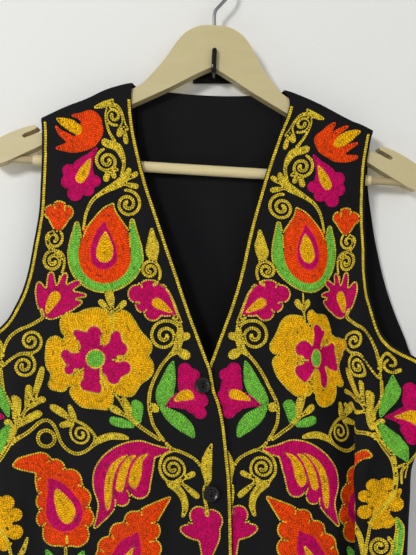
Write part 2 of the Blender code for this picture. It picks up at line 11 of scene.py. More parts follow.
import bpy
import numpy as np
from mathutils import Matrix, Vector


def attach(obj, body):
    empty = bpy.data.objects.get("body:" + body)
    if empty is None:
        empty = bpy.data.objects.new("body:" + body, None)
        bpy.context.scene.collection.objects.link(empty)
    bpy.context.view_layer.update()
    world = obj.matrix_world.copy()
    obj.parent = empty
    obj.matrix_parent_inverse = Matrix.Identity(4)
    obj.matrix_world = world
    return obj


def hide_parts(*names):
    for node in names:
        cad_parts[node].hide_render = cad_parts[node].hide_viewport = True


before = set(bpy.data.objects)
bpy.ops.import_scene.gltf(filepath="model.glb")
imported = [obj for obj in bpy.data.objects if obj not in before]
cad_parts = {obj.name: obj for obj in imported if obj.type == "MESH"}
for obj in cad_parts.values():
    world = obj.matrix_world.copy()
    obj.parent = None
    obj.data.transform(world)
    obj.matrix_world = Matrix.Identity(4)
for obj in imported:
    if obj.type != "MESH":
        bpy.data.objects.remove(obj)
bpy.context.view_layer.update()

MM = 0.001
LAPPING, BOTH, UNDER = -1, 0, 1  # the lapping front, left of the middle, and the one under it

# ---- the cut and how it hangs, as the solids have them -----------------------------------
SEAM_GAP = 0.3
CLOTH = 1.6
CENTRE_X = -4.0
NECK_Z = -33.4
SHOULDER_SLOPE = 0.437
SHOULDER_CROWN = 3.2
NECK_HALF = 78.0
SHOULDER_HALF = 171.0
GARMENT_TILT = 0.042
HANGER_Y = -18.0
WRAP_REACH = 9.6
WRAP_RISE = 5.0
WRAP_ANGLES = np.arange(0, 91, 15)
SIDE_TURN = 26.0
SIDE_PULL = 0.36
SEAM_Y = -17.0
SEAM_SHARE = 0.06
SIDE_SETBACK = 4 * SEAM_GAP
SHOULDER_SETBACK = 2 * SEAM_GAP
UNDERARM_ROW = 9
BACK_NECK_SAG = 5.6
PLEAT_HALF_WIDTH = 15.0
VALLEY_FROM_PLEAT = 24.0
VALLEY_WIDTH = 30.0
UNDER_SETBACK = 2.6
BACK_DROP_SHARE = 0.8
BACK_UNDERARM = 5
UNDERARM_ROWS = (2.5, 1.5)
TOP_FADE_ROWS = 4
BACK_SOFT_SHARE = 0.12
# Where each change starts, and over how many mm it grows to the full.
SOFT_FROM_EDGE = (30, 40)
SOFT_FROM_SHOULDER = (12, 25)
SOFT_FROM_BACK_TOP = (50, 30)
DRAPE_SPAN = (78, 112)
OUTER_SPAN = (183, 22)
SETBACK_SPAN = (190, 60)

# inner u, inner d, outer u, outer d
FRONT_CUT = np.array((
    (78, 0, 171, 40.6), (79.5, 19, 170, 58), (76, 51, 170, 82), (65, 97, 171, 109), (51, 139, 172.5, 135),
    (32.5, 192, 178, 166), (19.5, 230, 183.5, 195), (4.5, 270, 193.5, 222), (-3, 293, 212, 248),
    (-3.5, 330, 264, 281), (-3.5, 400, 271, 360), (-3.5, 480, 271, 460), (-3.5, 565, 272, 565),
))
LAST_ROW = len(FRONT_CUT) - 1
EDGE_U, HEM, SIDE_U, _ = FRONT_CUT[-1]
# The back's armhole edge as u and d, row by row. Below it the back ends at the fronts' side seams.
BACK_CUT = np.array((
    (171, 40.6), (169.6, 56), (166.4, 86), (167.5, 108), (170, 128),
    (175, 161), (183, 194), (193, 222), (206, 251),
))
# How much higher a shoulder lies than the straight cut, by u, and how far down that goes.
LAP_SHOULDER_RISE = ((78, 0), (90, 0.8), (106, 2), (127, 1.4), (146, 3), (171, 3.1))
UNDER_SHOULDER_RISE = ((78, -0.6), (98, -1.4), (114, -2), (131, -2), (147, -0.9), (158, 1.2), (171, 2.2))
SHOULDER_RISE_DEPTH = 60.0
# By d, the share or the mm of each change of the hang.
TILT_FADE = ((0, 1), (65, 0.76), (130, 0.5), (170, 0.12), (230, 0), (565, 0))
FORWARD_HANG = ((0, 0), (60, 0.8), (130, 3), (220, 8), (300, 13), (400, 16), (565, 17))
LAP_SWING = ((285, 0), (307, 2), (322, 7.5), (342, 11.7), (372, 15), (400, 17.7), (470, 19.5), (565, 20.5))
UNDER_INNER = ((0, 2), (15, -2.5), (51, 6), (95, 10), (143, 7.5), (196, 1.2), (240, 0), (565, 0))
UNDER_DRAPE = (
    (60, 0), (113, 4), (149, 10.5), (197, 24), (246, 32), (280, 33), (320, 22), (390, 9), (565, 8),
)
PLEAT_HIDDEN = ((250, 0), (300, 10), (345, 31), (372, 42), (400, 51), (430, 53), (490, 56), (565, 59))
PLEAT_PLACE = ((300, 172), (355, 178), (430, 187), (565, 189))
PLEAT_FORWARD = ((215, 0), (300, 9), (390, 24), (565, 29))
VALLEY_DEPTH = ((140, 0), (230, 8), (300, 12), (390, 8), (565, 7))
OUTER_DROP = (
    (170, 0), (246, 12), (268, 13), (290, 10), (335, -4), (380, -15), (430, -24), (480, -28), (565, -26),
)
OUTER_BULGE = ((260, 0), (320, 7), (370, 6), (430, 0), (565, 0))
BACK_DEPTH = ((0, -8.4), (90, -7), (200, -5), (565, -4.2))

# Soft ridges (+) and troughs (-): where they start and end, width and height.
Fold = namedtuple("Fold", "u_top d_top u_end d_end width height")
OVER_FOLDS = (
    Fold(205, 262, 150, 540, 24, 5.0), Fold(168, 300, 186, 565, 20, -4.0), Fold(120, 60, 128, 250, 26, 2.5),
    Fold(95, 330, 70, 565, 22, 3.5), Fold(226, 330, 215, 565, 18, 4.5),
)
UNDER_FOLDS = (
    Fold(118, 60, 104, 300, 22, 4.0), Fold(60, 330, 84, 565, 24, 3.5), Fold(112, 400, 118, 565, 16, -3.5),
    Fold(220, 350, 214, 565, 16, -5.0),
)
BACK_FOLDS = (
    Fold(-120, 120, -150, 565, 26, 6.0), Fold(-60, 200, -40, 565, 24, 4.0), Fold(18, 60, 30, 420, 30, 3.0),
    Fold(96, 150, 84, 565, 22, 6.5), Fold(150, 200, 140, 565, 18, 8.0),
)
# Finer creases, which the solids don't have.
OVER_CREASES = (
    Fold(178, 236, 150, 330, 7, -1.2), Fold(190, 250, 205, 420, 8, 1.3), Fold(28, 330, 60, 470, 9, -1.0),
    Fold(150, 60, 156, 200, 8, 0.8), Fold(60, 150, 70, 260, 7, 0.7), Fold(118, 430, 100, 560, 9, 1.2),
    Fold(236, 300, 232, 540, 7, -1.3), Fold(24, 420, 30, 560, 8, 0.9),
)
UNDER_CREASES = (
    Fold(166, 90, 158, 300, 6, -1.3), Fold(178, 150, 176, 330, 5, 1.6), Fold(190, 230, 200, 420, 6, -1.6),
    Fold(186, 210, 186, 360, 5, 1.2), Fold(88, 200, 100, 300, 8, 0.9), Fold(40, 310, 52, 470, 9, -0.9),
    Fold(206, 280, 214, 500, 6, 1.4), Fold(132, 380, 128, 560, 8, 1.0),
)
BACK_CREASES = (
    Fold(-20, 60, -70, 300, 8, 0.9), Fold(40, 50, 70, 330, 8, 1.0), Fold(-140, 230, -110, 520, 9, 1.3),
    Fold(0, 300, 10, 565, 10, -1.2), Fold(120, 260, 110, 540, 8, -1.3), Fold(-90, 120, -96, 340, 7, -0.9),
)
PUCKER_WAVES = 26
PUCKER_LENGTHS = (13, 42)
PUCKER_HEIGHT = 0.075
FOLD_START, CREASE_START, FOLD_STOP = 70.0, 40, 60
FOLD_OVERRUN = 1.1


# ---- small tools ------------------------------------------------------------------
def ease(t):
    """A smooth step from 0 to 1 while t goes from 0 to 1."""
    t = np.clip(t, 0, 1)
    return t * t * (3 - 2 * t)


def grown(x, span):
    """0 before the span (start, length), 1 after it, and smooth between."""
    return ease((x - span[0]) / span[1])


def bell(distance, width):
    """1 at no distance, fading to 0 beyond the width."""
    return np.exp(-((distance / width) ** 2))


def unit(vectors):
    """The same directions with a length of 1."""
    return vectors / np.maximum(np.linalg.norm(vectors, axis=-1, keepdims=True), 1e-9)


def between(start, end, share):
    """Places on the straight line from start to end, at each share of it."""
    return np.array(start) + (np.array(end) - np.array(start)) * share[:, None]


def hermite(xs, ys, x):
    """Smooth curve through the points (xs, ys), level outside them."""
    xs, ys, x = np.asarray(xs, float), np.asarray(ys, float), np.asarray(x, float)
    last = len(xs) - 1
    i = np.clip(np.searchsorted(xs, x) - 1, 0, last - 1)
    before, after = np.maximum(np.arange(last + 1) - 1, 0), np.minimum(np.arange(last + 1) + 1, last)
    slope = (ys[after] - ys[before]) / (xs[after] - xs[before])
    span = xs[i + 1] - xs[i]
    t = np.clip((x - xs[i]) / span, 0, 1)
    return (
        (2 * t**3 - 3 * t**2 + 1) * ys[i]
        + (t**3 - 2 * t**2 + t) * span * slope[i]
        + (3 * t**2 - 2 * t**3) * ys[i + 1]
        + (t**3 - t**2) * span * slope[i + 1]
    )


def at(table, place):
    """A table's second column at a place in its first."""
    return hermite(*zip(*table), place)


def along_cut(cut, t):
    """The cut's columns at row number t, which need not be whole."""
    return [hermite(np.arange(len(cut)), column, t) for column in cut.T]


def folds_at(folds, u, d, start=FOLD_START):
    """Height of all the folds together: each grows over its start and follows its own slanted line."""
    total = 0.0
    for fold in folds:
        t = (d - fold.d_top) / (fold.d_end - fold.d_top)
        middle = fold.u_top + (fold.u_end - fold.u_top) * np.clip(t, 0, FOLD_OVERRUN)
        inside = grown(d, (fold.d_top, start)) * (1 - grown(d, (fold.d_end, FOLD_STOP)))
        total = total + fold.height * inside * bell(u - middle, fold.width)
    return total


def pucker_table(seed):
    """Directions, phases and heights of the small puckers that sewing leaves in one piece of cloth."""
    draw = np.random.default_rng(seed)
    turn = draw.uniform(0, math.tau, PUCKER_WAVES)
    length = draw.uniform(*PUCKER_LENGTHS, PUCKER_WAVES)
    phase = draw.uniform(0, math.tau, PUCKER_WAVES)
    return np.stack((np.cos(turn) / length, np.sin(turn) / length, phase, length / PUCKER_LENGTHS[1]), axis=1)


BACK = "back"
PUCKERS = {LAPPING: pucker_table(11), UNDER: pucker_table(12), BACK: pucker_table(13)}


def puckers_at(piece, u, d):
    """Height of a piece's small puckers."""
    total = 0.0
    for along_u, along_d, phase, share in PUCKERS[piece]:
        total = total + np.sin(math.tau * (u * along_u + d * along_d) + phase) * share
    return total * PUCKER_HEIGHT


# ---- how a point of the cut lies in space -------------------------------------------
def shoulder_drop(u):
    """How far below the neck point the shoulder seam lies."""
    t = np.clip((u - NECK_HALF) / (SHOULDER_HALF - NECK_HALF), 0, 1)
    return SHOULDER_SLOPE * (u - NECK_HALF) - SHOULDER_CROWN * np.sin(math.pi * np.sqrt(t))


def over_the_arm(q):
    """How far the cloth stands from the seam on the arm's top, q mm below it."""
    return WRAP_REACH * np.sqrt(np.maximum(0, 1 - (1 - np.clip(q, 0, WRAP_RISE) / WRAP_RISE) ** 2))


def side_u(d):
    """How far out the side seam lies below the underarm."""
    return hermite(FRONT_CUT[UNDERARM_ROW:, 3], FRONT_CUT[UNDERARM_ROW:, 2], d)


def front_point(side, u, d, fine=1.0):
    """The outer face of one front in mm; without fine it has no creases and puckers."""
    u, d = np.asarray(u, float), np.asarray(d, float)
    q = d - shoulder_drop(u)
    forward = over_the_arm(q) + at(FORWARD_HANG, d)
    turned = np.maximum(0, u - (side_u(d) - SIDE_TURN)) / SIDE_TURN
    reach = u - SIDE_PULL * SIDE_TURN * turned**2
    rise = UNDER_SHOULDER_RISE if side > 0 else LAP_SHOULDER_RISE
    height = NECK_Z - d + at(rise, u) * (1 - ease(q / SHOULDER_RISE_DEPTH))
    slope = GARMENT_TILT * u * at(TILT_FADE, d)
    soft = grown(u, SOFT_FROM_EDGE)
    small = soft * grown(q, SOFT_FROM_SHOULDER) * fine
    if side < 0:
        reach = reach - np.where(d > LAP_SWING[0][0], at(LAP_SWING, d), 0)
        forward = forward + soft * folds_at(OVER_FOLDS, u, d)
        forward = forward + small * folds_at(OVER_CREASES, u, d, CREASE_START)
        height = height + slope
    else:
        pleat_u = at(PLEAT_PLACE, d)
        pleat = ease((u - pleat_u + PLEAT_HALF_WIDTH) / (2 * PLEAT_HALF_WIDTH))
        drape, outer = grown(u, DRAPE_SPAN), grown(u, OUTER_SPAN)
        reach = reach - at(UNDER_INNER, d) - at(UNDER_DRAPE, d) * drape - at(PLEAT_HIDDEN, d) * pleat
        forward = forward + soft * folds_at(UNDER_FOLDS, u, d)
        forward = forward + small * folds_at(UNDER_CREASES, u, d, CREASE_START)
        forward = forward - UNDER_SETBACK * grown(d, SETBACK_SPAN) + at(PLEAT_FORWARD, d) * pleat
        forward = forward - at(VALLEY_DEPTH, d) * bell(u - pleat_u + VALLEY_FROM_PLEAT, VALLEY_WIDTH)
        forward = forward + at(OUTER_BULGE, d) * outer
        height = height - slope - at(OUTER_DROP, d) * outer
    forward = forward + small * puckers_at(side, u, d)
    y = HANGER_Y - forward
    y = y + (SEAM_Y - y) * np.minimum(turned, 1) ** 2
    return np.stack(np.broadcast_arrays(CENTRE_X + side * reach, y, height), axis=-1)


def front_normal(side, u, d):
    """Unit normals of a front's outer face, towards the viewer."""
    step = 0.5
    across = front_point(side, u + step, d) - front_point(side, u - step, d)
    down = front_point(side, u, d + step) - front_point(side, u, d - step)
    return unit(np.cross(across, down) * -side)


def seam_points(side, t):
    """A front's side seam at row t, set back for the back panel."""
    outer_u, outer_d = along_cut(FRONT_CUT, t)[2:]
    return front_point(side, outer_u, outer_d, 0) + np.array((0, SIDE_SETBACK, 0))


def back_edge(side, t):
    """The back's armhole edge down to the underarm, and the side seam below it, at row t."""
    armhole_row = np.minimum(t, UNDERARM_ROW - 1)
    u, d = along_cut(BACK_CUT, armhole_row)
    height = NECK_Z - d - side * GARMENT_TILT * u * at(TILT_FADE, d)
    if side > 0:
        height = height - BACK_DROP_SHARE * at(OUTER_DROP, d)
    y = at(BACK_DEPTH, d) - BACK_UNDERARM * ease(
        (armhole_row - UNDERARM_ROW + UNDERARM_ROWS[0]) / UNDERARM_ROWS[1]
    )
    upper = np.stack((CENTRE_X + side * u, y, height), axis=-1)
    lower = seam_points(side, np.maximum(t, UNDERARM_ROW))
    share = np.clip(t - UNDERARM_ROW + 1, 0, 1)[..., None]
    return upper + (lower - upper) * share


def back_top(x):
    """Top edge of the back at x from the centre line: shoulder seams, and the neckline between them."""
    u = np.abs(x)
    seam_u = np.maximum(u, NECK_HALF)
    left, right = (front_point(side, seam_u, shoulder_drop(seam_u), 0) for side in (LAPPING, UNDER))
    seam = np.where((x < 0)[..., None], left, right)
    ends = [front_point(side, NECK_HALF, 0, 0) for side in (LAPPING, UNDER)]
    t = (x + NECK_HALF) / (2 * NECK_HALF)
    sag = BACK_NECK_SAG * (1 - (u / NECK_HALF) ** 2)
    neck_x = ends[0][0] + (ends[1][0] - ends[0][0]) * t
    neck_z = ends[0][2] + (ends[1][2] - ends[0][2]) * t - sag
    on_seam = u >= NECK_HALF
    return (
        np.where(on_seam, seam[..., 0], neck_x),
        np.where(on_seam, HANGER_Y + SHOULDER_SETBACK, at(BACK_DEPTH, 0)),
        np.where(on_seam, seam[..., 2], neck_z),
        on_seam,
    )


def back_point(fraction, t, q):
    """The back's face towards the wall, at a fraction of the way across row t and q mm further down."""
    left, right = back_edge(LAPPING, t), back_edge(UNDER, t)
    flat = left + (right - left) * fraction[..., None]
    x, top_y, top_z, on_seam = back_top(SHOULDER_HALF * (2 * fraction - 1))
    first_left, first_right = (back_edge(side, np.zeros(1))[0] for side in (LAPPING, UNDER))
    start = first_left + (first_right - first_left) * fraction[..., None]
    fade = (1 - np.minimum(t / TOP_FADE_ROWS, 1)) ** 2
    height = flat[..., 2] + (top_z - start[..., 2]) * fade - q
    across = flat[..., 0] + (x - start[..., 0]) * fade
    below = NECK_Z - height
    depth = at(BACK_DEPTH, below)
    near_edge = np.minimum(fraction, 1 - fraction)
    seam = 1 - np.sqrt(np.maximum(0, 1 - np.maximum(0, 1 - near_edge / SEAM_SHARE) ** 2))
    seam = seam * ease(t - UNDERARM_ROW + 1)
    middle = ease(near_edge / BACK_SOFT_SHARE)
    small = middle * grown(below, SOFT_FROM_BACK_TOP)
    y = depth - middle * folds_at(BACK_FOLDS, across - CENTRE_X, below)
    creases = folds_at(BACK_CREASES, across - CENTRE_X, below, CREASE_START)
    y = y - small * (creases + puckers_at(BACK, across, below))
    y = y + (flat[..., 1] - y) * seam
    over = top_y + (depth - top_y) * over_the_arm(q) / WRAP_REACH
    y = np.where((t == 0) & on_seam, over, y)
    return np.stack((across, y, height), axis=-1)


# ---- meshes ---------------------------------------------------------------------------
def mesh_object(name, points, faces, material, tone=None, normals=None):
    """An object from points in mm and same-sized faces; tone and normals, where given, are one a point."""
    mesh = bpy.data.meshes.new(name)
    corners = faces.shape[1]
    mesh.vertices.add(len(points))
    mesh.vertices.foreach_set("co", (points * MM).astype(np.float32).ravel())
    mesh.loops.add(faces.size)
    mesh.loops.foreach_set("vertex_index", faces.astype(np.int32).ravel())
    mesh.polygons.add(len(faces))
    mesh.polygons.foreach_set("loop_start", np.arange(0, faces.size, corners, dtype=np.int32))
    if tone is not None:
        layer = mesh.attributes.new("tone", "FLOAT", "POINT")
        layer.data.foreach_set("value", tone.astype(np.float32))
    mesh.update(calc_edges=True)
    mesh.validate()
    if normals is not None:
        mesh.normals_split_custom_set_from_vertices(normals)
    obj = bpy.data.objects.new(name, mesh)
    mesh.materials.append(material)
    bpy.context.scene.collection.objects.link(obj)
    return obj


def grid_normals(grid, facing):
    """Unit normals of a grid of points, on the side whose y has facing's sign."""
    normal = unit(np.cross(np.gradient(grid, axis=1), np.gradient(grid, axis=0)))
    return normal * (np.sign(normal[..., 1].sum()) * facing)


RIM_BULGE = 0.1


def shell(name, grid, facing, material, under_colour=None):
    """A closed cloth wall on a grid of points, with rounded edges and a colour for each point of its face."""
    normal = grid_normals(grid, facing)
    rows, columns = grid.shape[:2]
    rim = [(0, j) for j in range(columns)] + [(i, columns - 1) for i in range(1, rows)]
    rim += [(rows - 1, j) for j in range(columns - 2, -1, -1)] + [(i, 0) for i in range(rows - 2, 0, -1)]
    rim = np.array(rim)
    inner = grid - normal * CLOTH
    on_rim = rim[:, 0], rim[:, 1]
    ring_out, ring_in = grid[on_rim], inner[on_rim]
    along = np.roll(ring_out, -1, axis=0) - np.roll(ring_out, 1, axis=0)
    outward = unit(np.cross(along, normal[on_rim]))
    centre = grid.reshape(-1, 3).mean(axis=0)
    outward *= np.sign(((ring_out - centre) * outward).sum())
    ring_mid = (ring_out + ring_in) / 2 + outward * RIM_BULGE * CLOTH
    index = np.arange(rows * columns).reshape(rows, columns)
    front = np.stack((index[:-1, :-1], index[1:, :-1], index[1:, 1:], index[:-1, 1:]), axis=-1).reshape(-1, 4)
    back = front[:, ::-1] + rows * columns
    out_ids = index[on_rim]
    in_ids, mid_ids = out_ids + rows * columns, np.arange(len(rim)) + 2 * rows * columns
    pairs = ((out_ids, mid_ids), (mid_ids, in_ids))
    strips = [np.stack((a, b, np.roll(b, -1), np.roll(a, -1)), axis=-1) for a, b in pairs]
    faces = np.concatenate([front, back] + strips)
    points = np.concatenate((grid.reshape(-1, 3), inner.reshape(-1, 3), ring_mid))
    corners = points[front]
    facing_now = np.cross(corners[:, 2] - corners[:, 0], corners[:, 3] - corners[:, 1])[:, 1].sum() * facing
    if facing_now < 0:
        faces = faces[:, ::-1]
    obj = mesh_object(name, points, faces, material)
    if under_colour is not None:
        colours = np.zeros((len(points), 4), np.float32)
        colours[:, 3] = 1
        colours[: rows * columns, :3] = under_colour.reshape(-1, 3)
        layer = obj.data.attributes.new("padding", "FLOAT_COLOR", "POINT")
        layer.data.foreach_set("color", colours.ravel())
    return obj


# Where a piece's columns stand closer together: the place across it, 0..1, the width and how much closer.
Crowd = namedtuple("Crowd", "place width extra")
NECK_PLACE = (1 - NECK_HALF / SHOULDER_HALF) / 2
FRONT_CROWDS = {
    LAPPING: (Crowd(1, 0.06, 1.2),),
    UNDER: (Crowd(0.69, 0.1, 1.6), Crowd(1, 0.06, 1.2)),
}
BACK_CROWDS = (Crowd(0, 0.03, 3), Crowd(NECK_PLACE, 0.01, 2))
NECK_COLUMNS = (-1e-6, 0.004)  # the two columns beside a neck point, towards the middle
CROWD_SAMPLES, ROW_SAMPLES = 800, 2000


def crowded(columns, crowds, mirrored=False):
    """Places of the columns, 0..1 across a piece; mirrored, the crowds stand at both of its sides."""
    across = np.linspace(0, 1, CROWD_SAMPLES)
    place = np.minimum(across, 1 - across) if mirrored else across
    density = 1.0
    for crowd in crowds:
        density = density + crowd.extra * bell(place - crowd.place, crowd.width)
    weight = np.cumsum(density)
    return np.interp(np.linspace(weight[0], weight[-1], columns), weight, across)


def rows_down(spacing, *edges):
    """Row numbers of the cut, about spacing apart along these columns of it, after the turn over the arm."""
    fine = np.linspace(0.5, LAST_ROW, ROW_SAMPLES)
    cut = along_cut(FRONT_CUT, fine)
    length = sum(cut[edge] for edge in edges) / len(edges)
    count = round((length[-1] - length[0]) / spacing)
    rows = np.interp(np.linspace(length[0], length[-1], count), length, fine)
    turn = WRAP_RISE * (1 - np.cos(np.radians(WRAP_ANGLES)))
    return np.concatenate((np.zeros(len(turn)), rows)), np.concatenate((turn, np.zeros(count)))


def front_grid(side, columns=112, spacing=2.3):
    """Points of one front in rows and columns, and their places (u, d) on the cut."""
    t, q = rows_down(spacing, 1, 3)
    fraction = crowded(columns, FRONT_CROWDS[side])
    inner_u, inner_d, outer_u, outer_d = (column[:, None] for column in along_cut(FRONT_CUT, t))
    u = inner_u + (outer_u - inner_u) * fraction
    d = inner_d + (outer_d - inner_d) * fraction
    crown = shoulder_drop(u) - SHOULDER_SLOPE * (u - NECK_HALF)
    d = d + crown * np.maximum(0, 1 - t)[:, None] + q[:, None]
    return front_point(side, u, d), np.stack((u, d), axis=-1)


def back_grid(columns=170, spacing=2.6):
    """Points of the back in rows and columns, with a column on each side of both neck points."""
    t, q = rows_down(spacing, 3)
    fraction = crowded(columns, BACK_CROWDS, mirrored=True)
    for seam_end, inwards in ((NECK_PLACE, 1), (1 - NECK_PLACE, -1)):
        pair = np.sort(np.argsort(np.abs(fraction - seam_end))[:2])[::inwards]
        fraction[pair] = [seam_end + inwards * away for away in NECK_COLUMNS]
    return back_point(*np.broadcast_arrays(fraction[None, :], t[:, None], q[:, None]))


# ---- motifs: strokes are circles whose radii run along a smooth curve on the cut ---------
THREADS = {
    "gold": (0.86, 0.63, 0.035),
    "orange": (1.0, 0.075, 0.001),
    "magenta": (0.68, 0.0015, 0.135),
    "amber": (1.0, 0.52, 0.002),
    "green": (0.2, 0.6, 0.06),
}
Motif = namedtuple("Motif", "thread edged strokes side")
Stroke = namedtuple("Stroke", "points radii")
# Half-widths: a leaf's tip, a lobe's foot, and how near its centre a scroll ends.
TIP, FOOT, SCROLL_EYE = 0.4, 1.1, 2.2


def motif(thread, *strokes, edged=False, side=BOTH):
    """Strokes sewn in one thread on one front or both; an edged one has a gold row round it."""
    parts = [part for stroke in strokes for part in (stroke if isinstance(stroke, list) else [stroke])]
    return Motif(thread, edged, parts, side)


gold, orange, magenta, amber, green = (functools.partial(motif, thread) for thread in THREADS)


def stem(radii, *points):
    """A smooth line through the points; the half-widths are spread evenly along it."""
    points = np.array(points, float)
    radii = np.atleast_1d(np.asarray(radii, float))
    pieces = 1 if len(points) < 3 else 5
    t = np.linspace(0, len(points) - 1, (len(points) - 1) * pieces + 1)
    knots = np.arange(len(points))
    curve = np.stack([hermite(knots, column, t) for column in points.T], axis=1)
    return Stroke(curve, np.interp(t / t[-1], np.linspace(0, 1, len(radii)), radii))


def ticks(radius, *lines):
    """Short straight lines, each from u, d to u, d."""
    return [stem(radius, line[:2], line[2:]) for line in lines]


def drop(radius, tip, head):
    """A pointed tip that swells to a round head."""
    share = np.linspace(0, 1, 7)
    return Stroke(between(tip, head, share), TIP + (radius - TIP) * np.sin(share * math.pi / 2) ** 1.2)


def leaf(radius, start, end):
    """A leaf with a tip at both ends."""
    share = np.linspace(0, 1, 9)
    return Stroke(between(start, end, share), TIP + (radius - TIP) * np.sin(share * math.pi) ** 0.8)


def club(radius, base, tip):
    """A rounded lobe on a narrow foot."""
    share = np.linspace(0, 1, 5)
    return Stroke(between(base, tip, share), FOOT + (radius - FOOT) * ease(share * 1.3))


def beads(*rounds):
    """Round spots, each given as radius, u, d."""
    return [Stroke(np.array([centre], float), np.array([radius])) for radius, *centre in rounds]


def arc(centre, radius, angle):
    """Points round a centre, at an angle and a radius each."""
    return np.array(centre) + np.reshape(radius, (-1, 1)) * np.stack((np.cos(angle), np.sin(angle)), axis=1)


def spiral(width, centre, start, turns):
    """A scroll from start in to the centre, clockwise on the lapping front where turns is positive."""
    centre, start = np.array(centre, float), np.array(start, float)
    reach = np.linalg.norm(start - centre)
    first = math.atan2(*(start - centre)[::-1])
    share = np.linspace(0, 1, 16 * math.ceil(abs(turns)))
    radius = reach + (SCROLL_EYE - reach) * share**0.9
    return Stroke(arc(centre, radius, first - math.tau * turns * share), width * (1 + 0.5 * share**6))


def ring(radius, width, centre):
    """A closed ring."""
    angle = np.linspace(0, math.tau, 25)
    return Stroke(arc(centre, radius, angle), np.full(len(angle), width))


